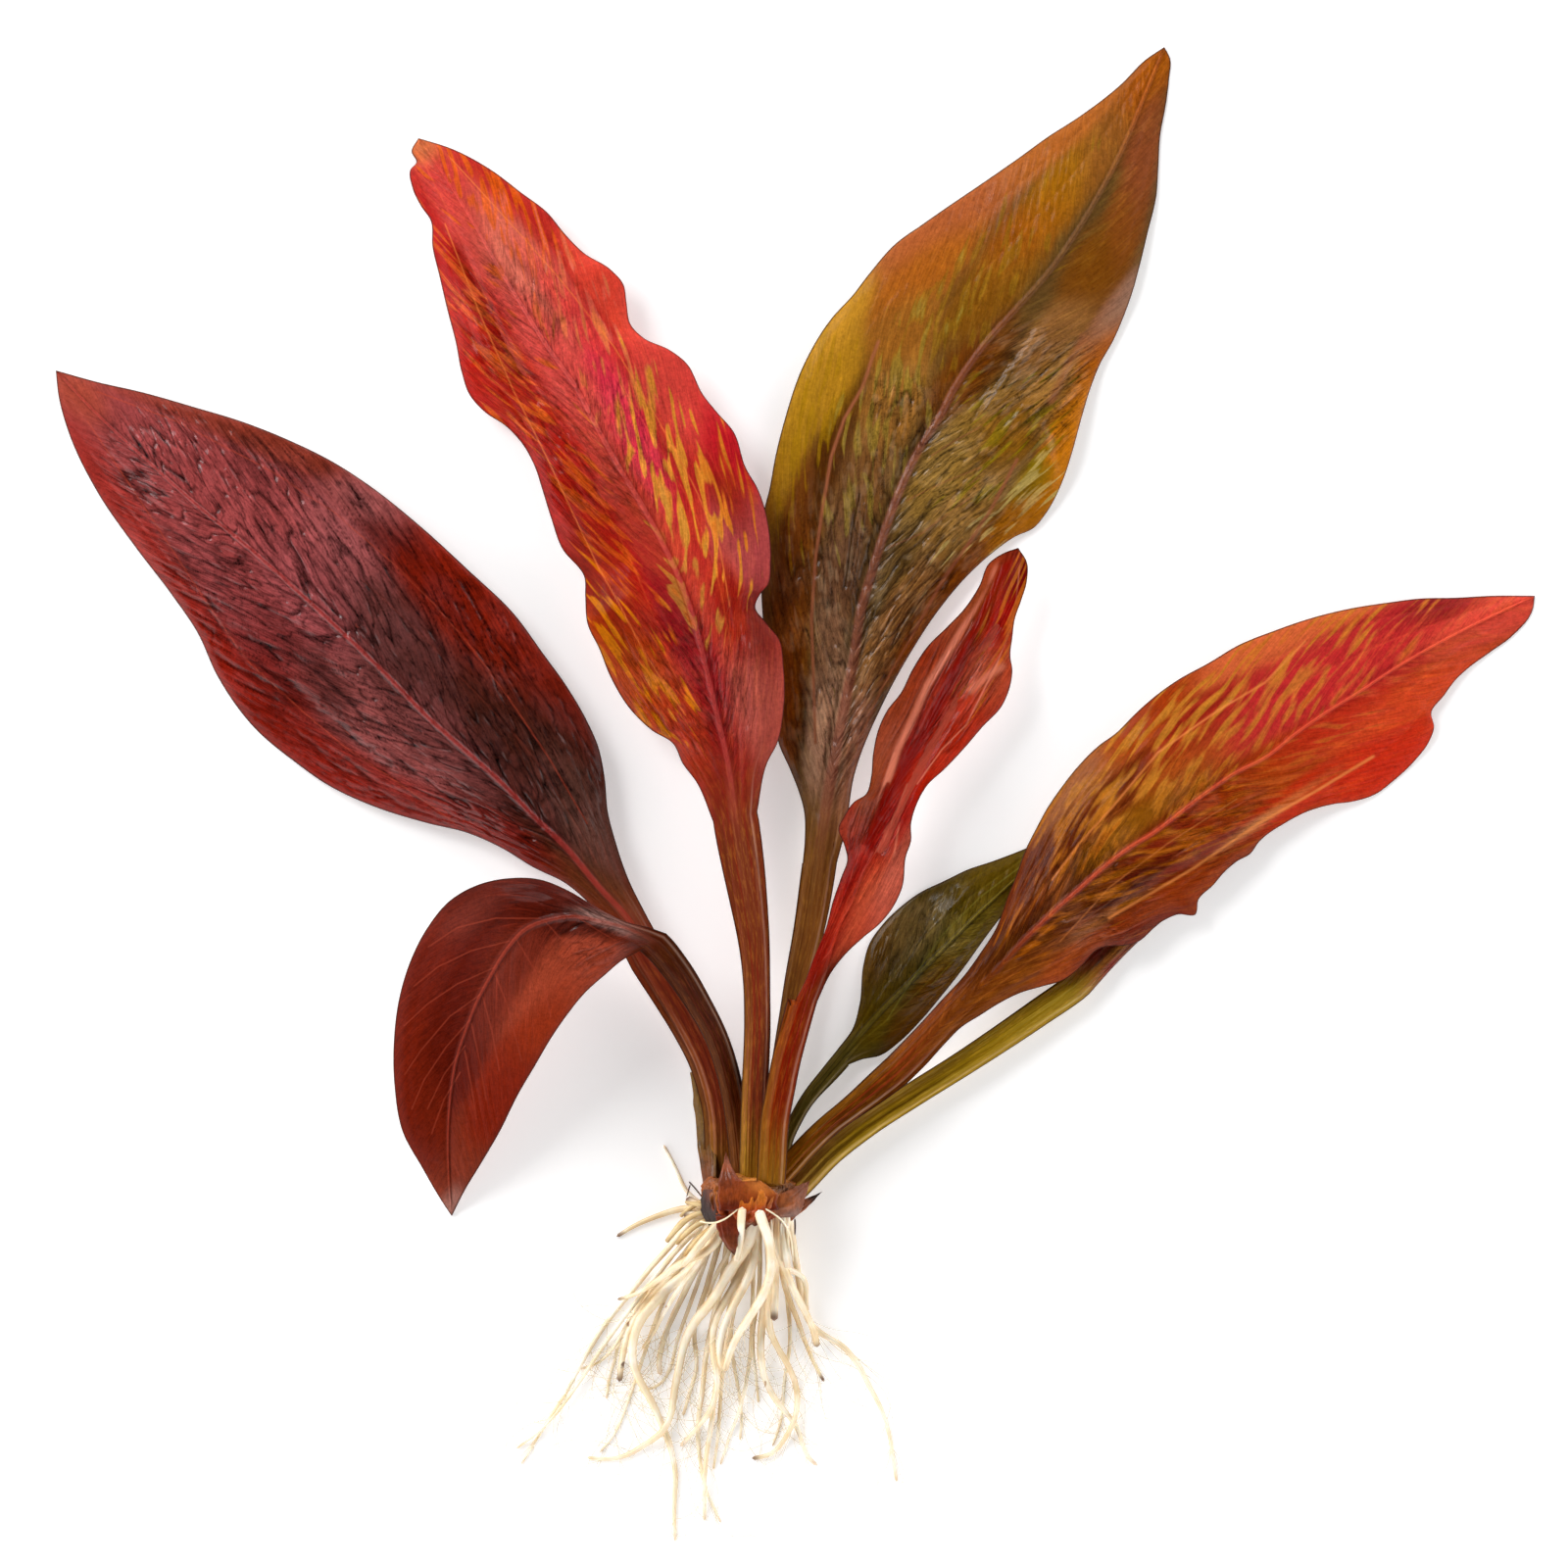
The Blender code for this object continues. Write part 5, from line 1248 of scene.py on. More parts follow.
# %% The roots' courses
# Each root: its thickness at the crown and at its tip in mm, then a run of pixels.
ROOTS = [
    (0.9, 0.4, 750,1247, 748,1310, 746,1370, 752,1410, 757,1440, 755,1470),
    (0.9, 0.4, 768,1247, 768,1330, 764,1395, 757,1430, 744,1468, 735,1495),
    (0.9, 0.4, 719,1248, 690,1300, 668,1350, 654,1392, 640,1432, 628,1462, 612,1482),
    (0.9, 0.4, 793,1247, 803,1320, 806,1370, 800,1412, 797,1450, 788,1476),
    (1.1, 0.5, 740,1247, 722,1310, 708,1360, 711,1395, 704,1420, 697,1445),
    (0.9, 0.4, 775,1247, 775,1310, 768,1370, 772,1410, 774,1432),
    (0.9, 0.4, 734,1247, 715,1300, 701,1340, 690,1370, 683,1400, 668,1417, 651,1418),
    (1.1, 0.4, 760,1247, 752,1320, 740,1380, 735,1430, 733,1462, 728,1500),
    (1.2, 0.4, 745,1247, 738,1300, 727,1350, 720,1385, 717,1418, 712,1453, 714,1487, 719,1515, 728,1538,
    736,1554),
    (1.3, 0.6, 758,1247, 752,1300, 742,1350, 734,1395, 729,1425, 726,1453, 721,1483, 719,1510, 719,1552),
    (1.0, 0.4, 722,1247, 694,1284, 668,1312, 646,1340, 634,1362, 628,1385, 622,1405, 619,1428),
    (0.8, 0.4, 712,1246, 684,1284, 656,1322, 638,1355, 626,1376, 617,1386, 605,1394, 588,1397),
    (1.4, 1.0, 728,1247, 704,1280, 676,1310, 656,1333, 645,1350, 638,1370, 634,1392, 632,1410),
    (0.8, 0.5, 712,1224, 703,1220, 696,1207, 687,1186, 677,1168),
    (1.3, 0.6, 711,1231, 690,1234, 670,1241, 650,1249, 629,1262),
    (1.1, 0.4, 711,1240, 699,1252, 683,1272, 664,1293, 650,1311, 631,1334, 613,1358, 594,1390, 578,1420,
    559,1450, 543,1476, 532,1494),
    (0.9, 0.4, 716,1249, 697,1268, 676,1292, 655,1320, 632,1350, 610,1382, 590,1412, 566,1444, 546,1464,
    527,1478),
    (1.2, 0.9, 735,1247, 718,1280, 705,1305, 697,1322, 688,1340, 680,1358, 675,1375, 672,1390, 674,1403),
    (1.3, 0.5, 797,1247, 797,1275, 799,1303, 806,1327, 815,1350, 822,1370, 830,1390, 841,1410),
    (1.3, 0.5, 806,1246, 812,1285, 818,1320, 826,1350, 840,1362, 860,1373, 874,1390, 888,1416, 900,1439,
    907,1462, 911,1487, 915,1512),
    (1.7, 0.6, 783,1247, 786,1280, 785,1305, 781,1325, 778,1348, 776,1370, 777,1390, 782,1411, 789,1425,
    802,1441, 814,1457, 819,1475, 824,1488, 834,1495),
    (1.4, 0.7, 790,1247, 788,1300, 784,1335, 786,1358, 795,1377, 805,1394, 812,1412, 814,1430, 811,1448,
    802,1466, 789,1483, 767,1488),
    (1.6, 0.6, 765,1247, 764,1275, 757,1295, 748,1312, 738,1330, 730,1346, 727,1363, 728,1382, 732,1402,
    731,1422, 724,1440, 712,1456, 694,1476),
    (2.0, 0.5, 723,1250, 709,1291, 695,1303, 680,1315, 668,1328, 655,1343, 648,1360, 645,1380, 648,1397,
    655,1412, 665,1430, 674,1450, 684,1475, 689,1500, 688,1540, 689,1573),
    (1.0, 0.6, 731,1249, 712,1288, 698,1306, 684,1328, 674,1345, 667,1360, 655,1376),
    (1.0, 0.6, 748,1249, 745,1275, 735,1292, 728,1306, 722,1326),
    (1.6, 1.2, 772,1247, 771,1275, 766,1296, 757,1315, 748,1332, 740,1348, 736,1364, 734,1382, 738,1396),
    (1.1, 0.9, 803,1247, 800,1272, 801,1292, 812,1297, 820,1300, 823,1307, 822,1320, 823,1338),
    (1.5, 1.3, 789,1248, 791,1280, 791,1310, 790,1346),
    (1.7, 0.5, 737,1249, 731,1266, 718,1276, 703,1282, 690,1290, 675,1302, 660,1313, 645,1321, 630,1325),
    (1.4, 1.1, 794,1248, 793,1262, 795,1277, 801,1292, 808,1310, 816,1327, 824,1341, 830,1355, 834,1374),
    (1.4, 1.2, 727,1252, 716,1265, 706,1278, 697,1289),
    (2.0, 0.6, 769,1247, 766,1262, 758,1276, 748,1290, 740,1303, 732,1318, 722,1332, 710,1346, 701,1362,
    696,1380, 692,1400, 688,1420, 684,1446, 675,1462, 659,1473, 640,1485, 617,1489, 599,1487),
    (1.8, 1.1, 779,1246, 784,1258, 787,1278, 786,1298, 779,1318, 769,1335, 758,1352, 749,1368, 743,1384,
    740,1397),
    (1.3, 1.1, 799,1248, 799,1262, 801,1277, 804,1292),
    (1.4, 1.2, 757,1246, 756,1258, 755,1272, 751,1284),
    (1.7, 1.6, 714,1229, 707,1226, 700,1222),
    (1.6, 1.5, 713,1238, 705,1237, 697,1236),
]
LAYING_STEP = 1.0 * MM
ROOT_CLEARANCE = 0.75 * MM
STEEPEST_ROOT = 0.45


def resting_heights(course, radii, laid, clearance):
    """The heights at which a root rests on the surface and on the roots laid before it."""
    lowest = radii.copy()
    for other, other_radii in laid:
        apart = np.linalg.norm(course[:, None, :] - other[None, :, :2], axis=2)
        touching = radii[:, None] + other_radii[None, :] + clearance
        over = other[None, :, 2] + np.sqrt(np.maximum(touching**2 - apart**2, 0.0))
        lowest = np.maximum(lowest, np.where(apart < touching, over, 0.0).max(axis=1))
    along = distances(course)
    away = np.abs(along[:, None] - along[None, :])
    return (lowest[None, :] - STEEPEST_ROOT * away).max(axis=1)


laid_roots = []
for thick, thin, *line in ROOTS:
    through = traced(line)
    count = max(4, round(distances(through)[-1] / LAYING_STEP))
    course = flowing(through, np.linspace(0.0, 1.0, count))
    radii = np.linspace(thick, thin, count) * MM / 2
    heights = resting_heights(course, radii, laid_roots, ROOT_CLEARANCE)
    laid_roots.append((np.column_stack([course, heights]), radii))
print("roots laid:", len(laid_roots))


# %% [markdown]
# A root is a tapering thread with slight swellings. It is rolled from a grid like a
# leaf, round its course, and its ends are drawn together into blunt points.

# %% Threads
def smoothed(line, times):
    """A line whose inner points are drawn towards their neighbours."""
    line = line.copy()
    for _ in range(times):
        line[1:-1] = (line[:-2] + 2 * line[1:-1] + line[2:]) / 4
    return line


def thread(name, course, radii, columns, step, seed, swelling):
    """A closed, tapering tube round a course. It swells a little every few millimetres."""
    length = distances(course)[-1]
    rows = max(8, int(length / step))
    at = np.linspace(0.0, 1.0, rows)
    line = flowing(smoothed(course, 3), at)
    radius = np.interp(at, np.linspace(0.0, 1.0, len(radii)), radii)
    along = np.gradient(line, axis=0)
    along /= np.linalg.norm(along, axis=1)[:, None]
    side = to_the_left(line)
    up = np.cross(along, side)
    turn = np.linspace(0.0, 2 * math.pi, columns)[None, :]
    ground = at[:, None] * length / MM
    swollen = 1 + swelling * uneven(ground / 2.2, np.cos(turn) * 0.8 + 30, seed) + 0 * turn
    end = np.minimum(at, 1 - at)[:, None] * length / radius[:, None]
    blunt = np.sqrt(np.clip(end * (2 - np.minimum(end, 1.0)), 0.0, 1.0))
    size = radius[:, None] * swollen * blunt
    ring = side[:, None, :] * np.cos(turn)[..., None] + up[:, None, :] * np.sin(turn)[..., None]
    points = line[:, None, :] + ring * size[..., None]
    points[..., 2] = np.maximum(points[..., 2], 0.0)
    return rolled(name, points, {"root": note(ground, length / MM - ground, turn)})


def joined(name, parts):
    """Several meshes as one piece."""
    with bpy.context.temp_override(active_object=parts[0], selected_editable_objects=parts):
        bpy.ops.object.join()
    parts[0].name = name
    return parts[0]


# %% [markdown]
# The root tissue is pale cream and lets some light into it, with painted shade in a
# yellower, darker tone on its sides, brown scars, and brown where a tip has died off.

# %% The root material
# scars: x, y, half length and half width in pixels, turn in degrees.
SCARS = [(679, 1331, 3.5, 3, 0), (641, 1350, 5, 2.5, 70), (636, 1392, 6, 3, 75), (781, 1412, 2, 5, 0)]
FIBRES = tone(206, 176, 130)
SPECKS = tone(170, 128, 84)


def root_material(name, pale, warm, side_shade, tip, brown, alpha=1.0):
    """Root tissue in two mixed tones, with a tone of painted shade for its sides and the tone of its tip, and
    how brown the tip is.
    """
    material, shader, start = shader_start(name)
    along, to_tip, turn = start.noted("root")
    where = start.node("ShaderNodeTexCoord", output=3)
    level = level_place(where)
    broad = start.noise(where, 2.0, 0.5, 220.0)
    grain = start.noise(where, 3.0, 0.65, 1400.0)
    lines = start.noise(start.joined(along / 6.0, turn * 1.3, 2.0), 2.0, 0.6)
    colour = start.blend(broad.between(0.35, 0.65), pale, warm)
    colour = start.blend(lines.between(0.55, 0.75) * 0.25, colour, FIBRES)
    colour = start.blend(grain.between(0.62, 0.74) * 0.25, colour, SPECKS)
    # Painted shade: the sides, which turn away from the light as seen from above, take a darker, yellower tone.
    shaded_sides = turn.math("COSINE", turn).size().between(0.45, 1.0)
    colour = start.blend(shaded_sides * (0.35 + 0.4 * broad), colour, side_shade)
    for oval in SCARS:
        scar = 1 - spot(level, *oval) + (grain - 0.5) * 2.0
        colour = start.blend(scar.between(0.2, 0.6) * 0.9, colour, tip)
    colour = start.blend((1 - (to_tip + (broad - 0.5) * 3.0).between(0.2, 2.2)) * brown, colour, tip)
    connect(colour, shader, "Base Color")
    connect(0.38 + grain * 0.2, shader, "Roughness")
    bumped(lines + grain * 0.5, shader, 0.4, 0.10 * MM)
    shader.inputs["Subsurface Weight"].default_value = 0.25
    shader.inputs["Subsurface Radius"].default_value = (0.0010, 0.0007, 0.0004)
    shader.inputs["Subsurface Scale"].default_value = 1.0
    shader.inputs["Alpha"].default_value = alpha
    return material


def root_tones(*tones):
    """Four tones: pale, warm, painted side shade and tip."""
    return [tone(*shade) for shade in tones]


PALE = root_tones((248, 239, 220), (234, 216, 182), (190, 154, 104), (170, 124, 76))
BROWNED = root_tones((244, 232, 206), (228, 204, 162), (182, 142, 90), (96, 58, 30))
pale_root = root_material("root_tissue", *PALE, 0.35)
browned_root = root_material("browned_root_tissue", *BROWNED, 0.95)

# %% [markdown]
# Some roots end in a dead brown tip, and the others fade out. Two of them start on
# the front of the crown and hang over its lower edge.

# %% The thirty-eight roots
ROOT_REACH = 3.2 * MM
ROOT_TOPS = {
    34: (774,1230,16.6, 776,1236,16.6, 778,1242,16.4),
    36: (758,1227,16.7, 757,1235,16.7, 756,1242,16.4),
}
ROOT_FULLNESS = 1.5
TOP_SLOPE = 0.35
BROWN_TIPPED = {13, 15, 19, 22, 29, 30, 31, 37, 38}
for number, (course, radii) in enumerate(laid_roots, start=1):
    node = f"root_{number:02d}"
    if number in ROOT_TOPS:
        course = np.concatenate([placed(ROOT_TOPS[number]), course])
        course[:, 2] = np.maximum(course[:, 2], course[0, 2] - TOP_SLOPE * distances(course))
    else:
        course = np.concatenate([into_the_crown(course[::3], ROOT_REACH)[:1], course])
    tapering = 1 - np.linspace(0.0, 1.0, len(course)) ** ROOT_FULLNESS
    radii = radii[-1] + (radii[0] - radii[-1]) * tapering
    piece = thread(node + "_skin", course, radii, 15, 0.45 * MM, number, 0.07)
    dressed(piece, browned_root if number in BROWN_TIPPED else pale_root, "root", node)

# %% [markdown]
# Between the roots grow hair roots, too fine for solids of their own. Each leaves
# a root at a slant and wanders off over the surface.

# %% Hair roots
HAIRS = 330
HAIRY_ROOTS = 36
HAIR_STEP = 1 * MM
SHORTEST_COURSE = 8
LEAST_HAIR_HEIGHT = 0.12 * MM
STRAIGHT_DOWN = -math.pi / 2
HAIR_TOP = plan(0, 1330)[1]
chance = np.random.default_rng(5)
low_corner = np.array(CAD_BOX[0][:2]) + HAIR_STEP
hair_parts = []
for hair in range(HAIRS):
    course, radii = laid_roots[chance.integers(0, HAIRY_ROOTS)]
    low = np.flatnonzero(course[:, 1] < HAIR_TOP)
    if len(low) < SHORTEST_COURSE:
        continue
    first = int(chance.choice(low[2:-3]))
    direction = course[min(first + 2, len(course) - 1)] - course[first - 1]
    heading = math.atan2(direction[1], direction[0]) + chance.normal(0, 0.5)
    bend = chance.normal(0, 0.05)
    steps = int(chance.uniform(6, 26))
    point = course[first].copy()
    line = [point.copy()]
    for step in range(steps):
        bend = 0.8 * bend + chance.normal(0, 0.09)
        heading += bend
        heading += 0.04 * math.sin(STRAIGHT_DOWN - heading)
        point[:2] += np.array([math.cos(heading), math.sin(heading)]) * HAIR_STEP
        point[:2] = np.maximum(point[:2], low_corner)
        point[2] = max(LEAST_HAIR_HEIGHT, point[2] * 0.86)
        line.append(point.copy())
    thickness = chance.uniform(0.08, 0.20) * MM
    hair_radii = np.linspace(thickness, thickness * 0.4, len(line)) / 2
    hair_parts.append(thread(f"hair_{hair}", np.array(line), hair_radii, 6, 0.6 * MM, 200 + hair, 0.1))

hairs = joined("hair_roots", hair_parts)
HAIR = root_tones((252, 240, 210), (246, 226, 186), (240, 214, 166), (226, 200, 150))
dressed(hairs, root_material("hair_root_tissue", *HAIR, 0.3, alpha=0.3), "root")
print("hair roots:", len(hair_parts), "faces:", len(hairs.data.polygons))

# %% [markdown]
# The crown is the plant's short stock: a lump of old leaf bases, widest where the
# petioles come out and narrow above the roots. A ball is made blunt, fitted between
# the crown's two sides and then given lobes, ribs and pits.

# %% The crown
CROWN_TOP = 1194
CROWN_BOTTOM = 1250
CROWN_SIDES = ((-1.0, 744, 784), (-0.5, 725, 797), (0.0, 719, 806), (0.6, 718, 812), (1.0, 722, 812))
CROWN_HEIGHT = 15.5 * MM
CROWN_BLUNTNESS = (0.7, 0.5, 0.65)


def crown():
    """The crown's mesh."""
    shape = bmesh.new()
    bmesh.ops.create_uvsphere(shape, u_segments=240, v_segments=170, radius=1.0)
    data, ball = mesh_of("crown_skin", shape)
    blunt = np.sign(ball) * np.abs(ball) ** np.array(CROWN_BLUNTNESS)
    down, left, right = np.array(CROWN_SIDES).T
    left, right = np.interp(blunt[:, 1], down, left), np.interp(blunt[:, 1], down, right)
    round_turn = np.arctan2(ball[:, 2], ball[:, 0])
    lobes = uneven(round_turn * 2.6 + 40, ball[:, 1] * 1.3 + 9, 91) * 0.10
    ribs = uneven(round_turn * 7 + 40, ball[:, 1] * 1.6 + 9, 95) * 0.05
    pits = uneven(round_turn * 13 + 90, ball[:, 1] * 6 + 9, 92) * 0.045
    fine = uneven(round_turn * 32 + 150, ball[:, 1] * 14 + 9, 93) * 0.02
    size = 1 + lobes + ribs + pits + fine
    ends = 1 + 0.22 * uneven(ball[:, 0] * 5 + 9, ball[:, 2] * 3 + 9, 94)
    points = np.empty_like(ball)
    points[:, 0] = plan(0.5 * (left + right) + 0.5 * (right - left) * blunt[:, 0] * size, 0)[0]
    middle, half = 0.5 * (CROWN_TOP + CROWN_BOTTOM), 0.5 * (CROWN_BOTTOM - CROWN_TOP)
    points[:, 1] = plan(0, middle - half * blunt[:, 1] * ends)[1]
    sloped = 1 - 0.22 * np.abs(blunt[:, 0]) ** 3
    points[:, 2] = CROWN_HEIGHT / 2 * (1 + blunt[:, 2] * size * sloped)
    points[:, 2] = np.clip(points[:, 2], 0.02 * MM, CROWN_HEIGHT + 0.5 * MM)
    data.vertices.foreach_set("co", points.ravel())
    data.shade_smooth()
    print("crown:", len(data.polygons), "faces")
    return in_scene("crown_skin", data)


# The bright patch at (770, 1204) is a painted highlight, and the dark ones at (791, 1208) and (736, 1196) are
# painted shade in pockets.
CROWN_PATCHES_AND_PAINTED_LIGHT = [
    (758, 1215, 28, 10, 0, 214, 118, 36), (770, 1204, 22, 6, 0, 220, 140, 62),
    (745, 1234, 22, 9, 0, 176, 74, 20), (776, 1236, 20, 9, 0, 172, 66, 16), (724, 1229, 7, 16, 0, 46, 26, 20),
    (791, 1208, 10, 6, 0, 60, 36, 14), (736, 1196, 6, 9, 0, 76, 44, 18), (728, 1206, 8, 10, 0, 150, 80, 34),
    (804, 1226, 16, 14, 0, 150, 84, 44), (762, 1246, 26, 5, 0, 96, 44, 16),
]


def crown_material(name, patches, ground):
    """Moist, scaly tissue in patches of tone, darkened at random; some patches are painted highlights, and some
    painted shade in pits.
    """
    material, shader, start = shader_start(name)
    where = start.node("ShaderNodeTexCoord", output=3)
    level = level_place(where)
    broad = start.noise(where, 3.0, 0.6, 420.0)
    fine = start.noise(where, 4.0, 0.7, 1500.0)
    fibres = start.noise(where.vector("MULTIPLY", where, (1500.0, 500.0, 500.0)), 3.0, 0.6)
    colour = patchwork(level, patches, ground, (broad - 0.5) * 1.2)
    shade = broad.between(0.36, 0.56) * 0.35 + fibres.between(0.3, 0.7) * 0.2
    shade = shade + fine.between(0.3, 0.7) * 0.12 + 0.42
    colour = start.shaded(colour, shade)
    connect(colour, shader, "Base Color")
    connect(0.25 + fine * 0.3, shader, "Roughness")
    shader.inputs["Specular IOR Level"].default_value = 0.1
    shader.inputs["Coat Weight"].default_value = 0.25
    bumped(fibres + fine * 0.6, shader, 0.8, 0.40 * MM)
    return material


crown_tissue = crown_material("crown_tissue", CROWN_PATCHES_AND_PAINTED_LIGHT, tone(150, 70, 24))
dressed(crown(), crown_tissue, "crown", "crown")

# %% [markdown]
# Scraps of old leaf sheath stay on the crown: thin, dry, pointed shells. Each is
# stretched between two edges that run from its base in the crown to its tip, arched
# between them, and a little ragged.

# %% Sheath scraps
def scrap(name, left, right, arch, seed, ragged=0.10, thickness=0.3 * MM):
    """A thin closed shell between two edges, each a run of x pixel, y pixel and height in mm."""
    rows, columns = 60, 49
    at = np.linspace(0.0, 1.0, rows)
    left, right = flowing(placed(left), at), flowing(placed(right), at)
    middle, half = (left + right) / 2, (left - right) / 2
    turn = np.linspace(0.0, 1.0, columns)
    under = turn > 0.5
    place = np.where(under, 4 * turn - 3, 1 - 4 * turn)[None, :]
    jag = 1 + ragged * uneven(at[:, None] * 11, np.sign(place) + 5, seed) * np.abs(place) ** 3
    points = middle[:, None, :] + half[:, None, :] * (place * jag)[..., None]
    width = np.linalg.norm(half, axis=1)[:, None]
    rib = 0.10 * MM * uneven(place * 6 + 20, at[:, None] * 3, seed + 1)
    skin = thickness * np.sqrt(np.clip(1 - place**2, 0, 1))
    points[..., 2] += arch * width * (1 - place**2) + rib - np.where(under[None, :], skin, 0.0)
    points[0] = points[0].mean(axis=0)
    points[-1] = points[-1].mean(axis=0)
    return rolled(name + "_skin", points, {})


# node: the solid that a scrap stands for. Three thin films have none.
SCRAPS = {
    "sheath_front": {
        "left": (734,1232,15.3, 733,1212,15.4, 737,1192,14.8, 741,1172,13.0),
        "right": (796,1232,15.2, 791,1212,15.8, 777,1201,15.9, 759,1202,15.8, 749,1190,14.8, 741,1172,13.0),
        "arch": 0.05, "node": "sheath_front",
        "patches": [
            (745, 1205, 14, 12, 0, 128, 54, 20), (760, 1214, 22, 8, 0, 148, 64, 18),
            # A painted highlight: the bright patch at (776, 1208).
            (776, 1208, 12, 6, 0, 196, 112, 46), (741, 1184, 8, 12, 0, 146, 72, 38),
            (760, 1230, 30, 8, 0, 108, 34, 10),
        ],
    },
    "sheath_right": {
        "left": (806,1226,9.6, 820,1221,9.7, 830,1217,9.9, 839,1213,10.0),
        "right": (806,1244,9.2, 816,1236,9.4, 828,1225,9.7, 839,1213,10.0),
        "arch": 0.25, "node": "sheath_right",
        "patches": [(812, 1232, 14, 10, 30, 150, 84, 52), (834, 1217, 8, 5, 30, 52, 34, 26)],
    },
    "sheath_low": {
        "left": (731,1236,14.6, 733,1252,14.5, 740,1266,14.2, 750,1277,13.6),
        "right": (755,1236,14.6, 754,1254,14.5, 753,1267,14.2, 750,1277,13.6),
        "arch": 0.2, "node": "sheath_low",
        "patches": [(745, 1245, 16, 10, 0, 128, 46, 20), (748, 1265, 10, 12, 0, 112, 52, 24)],
    },
    "bract": {
        "left": (784,1222,14.4, 797,1213,14.2, 811,1208,13.0, 826,1202,11.6),
        "right": (786,1236,13.6, 799,1238,13.2, 813,1236,12.2, 822,1218,11.8, 826,1202,11.6),
        "arch": 0.25, "node": None,
        "patches": [
            (800, 1224, 20, 10, 20, 158, 84, 40), (818, 1214, 10, 10, 20, 120, 66, 44),
            (808, 1236, 14, 6, 0, 128, 92, 80),
        ],
    },
    "dark_scale": {
        "left": (718,1210,12.2, 716,1224,12.0, 717,1236,11.6, 724,1248,11.0),
        "right": (735,1210,14.8, 737,1226,14.8, 735,1238,14.2, 724,1248,11.0),
        "arch": 0.15, "node": None,
        "patches": [(724, 1230, 8, 14, 0, 44, 26, 22), (731, 1218, 8, 12, 0, 110, 52, 30)],
    },
    "petiole_wing": {
        "left": (704,1092,1.6, 708,1130,1.6, 711,1162,2.2, 715,1186,4.0, 719,1214,6.0),
        "right": (716,1092,2.6, 727,1130,3.2, 730,1162,4.0, 731,1186,6.0, 730,1214,8.0),
        "arch": 0.1, "node": None,
        "patches": [(712, 1140, 8, 60, 0, 116, 80, 20), (715, 1196, 8, 20, 0, 104, 50, 24)],
    },
}
for index, (scrap_name, form) in enumerate(SCRAPS.items()):
    tissue = crown_material(scrap_name + "_tissue", form["patches"], tone(*form["patches"][0][5:]))
    piece = scrap(scrap_name, form["left"], form["right"], form["arch"], 120 + index)
    dressed(piece, tissue, "sheath", *([form["node"]] if form["node"] else []))
print("scraps:", len(SCRAPS))

# %% [markdown]
# Thin pale threads and two dark wiry ones hang about the crown, and short yellowish
# root bases crowd at its left side.

# %% Threads on the crown
# Each thread: its thickness in mm, then a run of x pixel, y pixel and height in mm.
PALE_THREADS = [
    (0.34, 714,1242,14.5, 722,1245,15.4, 730,1247,15.8, 740,1241,16.2, 748,1235,16.4, 754,1229,16.4),
    (0.34, 781,1229,16.0, 790,1235,15.8, 800,1239,15.2, 807,1247,14.0, 811,1262,12.0, 809,1285,10.0),
    (0.5, 797,1243,12.0, 794,1262,11.6, 798,1285,10.4),
    (0.5, 803,1246,12.0, 803,1268,11.4, 806,1292,10.0),
    (0.4, 787,1240,13.0, 786,1262,12.4, 790,1284,11.4),
]
ROOT_BASES = [
    (1.0, 724,1222,7.0, 713,1222,7.8, 703,1228,7.2, 694,1240,6.0),
    (1.15, 724,1234,8.8, 711,1231,9.4, 701,1237,8.6, 690,1250,7.0, 680,1266,5.6),
    (0.8, 725,1228,9.6, 715,1226,10.2, 706,1227,9.6, 699,1224,8.4),
    (1.1, 722,1242,8.2, 709,1244,8.8, 699,1254,7.4, 690,1268,6.0),
    (1.0, 726,1250,9.6, 716,1255,9.4, 706,1266,8.0, 698,1280,6.6),
]
DARK_THREADS = [
    (0.3, 703,1203,9.0, 709,1208,9.6, 714,1214,10.0, 719,1222,10.0),
    (0.26, 705,1206,9.0, 702,1212,8.6, 701,1220,8.2),
    (0.35, 811,1240,11.0, 813,1249,10.6, 811,1258,10.0),
    (0.8, 796,1258,7.6, 797,1272,7.0, 795,1284,6.0),
]


def strands(name, lines):
    """Several threads as one piece."""
    parts = []
    for index, (thickness, *line) in enumerate(lines):
        radii = np.array([0.9, 1.0, 0.7]) * thickness * MM / 2
        parts.append(thread(f"{name}_{index}", placed(line), radii, 10, 0.3 * MM, 400 + index, 0.12))
    return joined(name, parts)


dressed(strands("crown_threads", PALE_THREADS), pale_root, "root")
BASE = root_tones((220, 196, 146), (196, 160, 100), (150, 112, 56), (120, 84, 40))
dressed(strands("root_bases", ROOT_BASES), root_material("root_base_tissue", *BASE, 0.4), "root")
WIRE = root_tones((92, 54, 30), (58, 32, 18), (34, 22, 14), (30, 22, 18))
dressed(strands("dark_threads", DARK_THREADS), root_material("dark_thread_tissue", *WIRE, 0.4), "root")

# %% [markdown]
# The plant lies on a plain pale floor, seen from straight above. The room is bright
# all round and dark overhead, so that wet leaves mirror the dark and keep their deep
# colours. A soft lamp at the upper left, and a small one inside its beam, put a gloss
# on the creases. The floor glows a little, and so stays white under the plant.

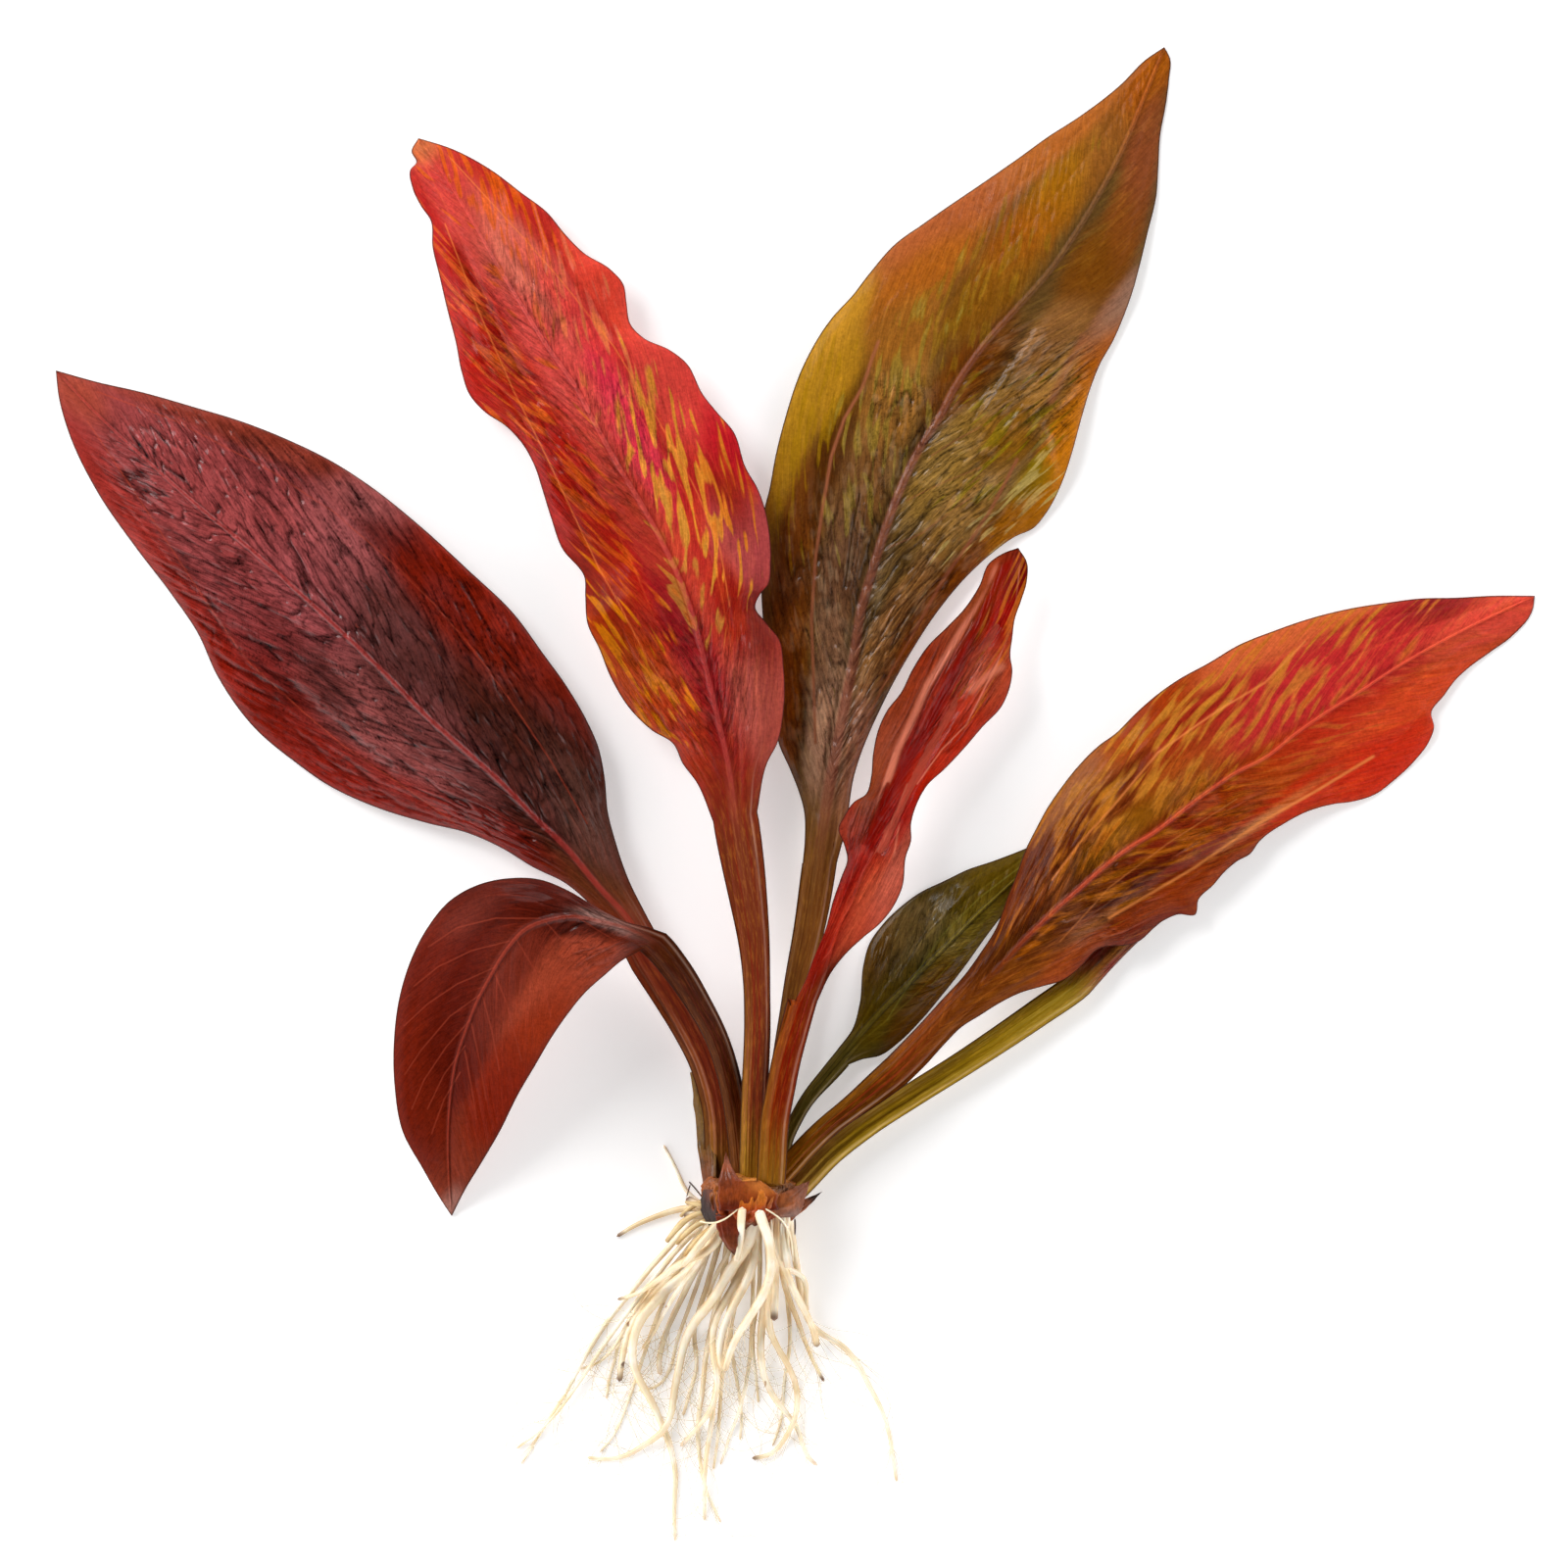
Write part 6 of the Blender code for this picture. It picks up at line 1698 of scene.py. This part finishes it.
# %% Floor, lights and camera
FLOOR_HALF = 3.0
FLOOR_GLOW = 0.36
ROOM_LIGHT = 3.1
OVERHEAD_LIGHT = 0.02
WHITE = (1.0, 1.0, 1.0, 1.0)
floor_shape = bmesh.new()
bmesh.ops.create_grid(floor_shape, x_segments=1, y_segments=1, size=FLOOR_HALF)
floor_data, _ = mesh_of("floor", floor_shape)
floor = in_scene("floor", floor_data)
floor_material, floor_shader, _ = shader_start("floor_paper")
floor_shader.inputs["Base Color"].default_value = (0.8, 0.79, 0.79, 1.0)
floor_shader.inputs["Roughness"].default_value = 0.8
floor_shader.inputs["Emission Color"].default_value = WHITE
floor_shader.inputs["Emission Strength"].default_value = FLOOR_GLOW
floor_data.materials.append(floor_material)


def soft_light(name, place, size, power):
    """A square soft light that faces the plant."""
    lamp = bpy.data.lights.new(name, "AREA")
    lamp.shape = "SQUARE"
    lamp.size = size
    lamp.energy = power
    light = in_scene(name, lamp)
    light.location = place
    light.rotation_mode = "QUATERNION"
    light.rotation_quaternion = light.location.normalized().to_track_quat("Z", "Y")


soft_light("key_light", (-1.25, 1.15, 1.45), 1.0, 27.0)
soft_light("spark_light", (-1.0, 1.2, 1.5), 0.12, 1.2)

world = bpy.data.worlds.new("studio")
world.use_nodes = True
upward = Wire(world.node_tree).node("ShaderNodeTexCoord").parts()[2]
backdrop = world.node_tree.nodes["Background"]
backdrop.inputs["Color"].default_value = WHITE
connect((1 - upward.between(0.30, 0.72)) * ROOM_LIGHT + OVERHEAD_LIGHT, backdrop, "Strength")
bpy.context.scene.world = world
bpy.context.scene.view_settings.view_transform = "Standard"

PICTURE_SIDE = 1600
CAMERA_HEIGHT = 1.6
SENSOR = 36.0
camera_data = bpy.data.cameras.new("camera")
camera_data.sensor_width = SENSOR
camera_data.lens = SENSOR * CAMERA_HEIGHT / (PICTURE_SIDE * PIXEL)
camera = in_scene("camera", camera_data)
camera.location = (*plan(PICTURE_SIDE / 2, PICTURE_SIDE / 2), CAMERA_HEIGHT)
bpy.context.scene.camera = camera
print("lens:", round(camera_data.lens, 1), "mm")
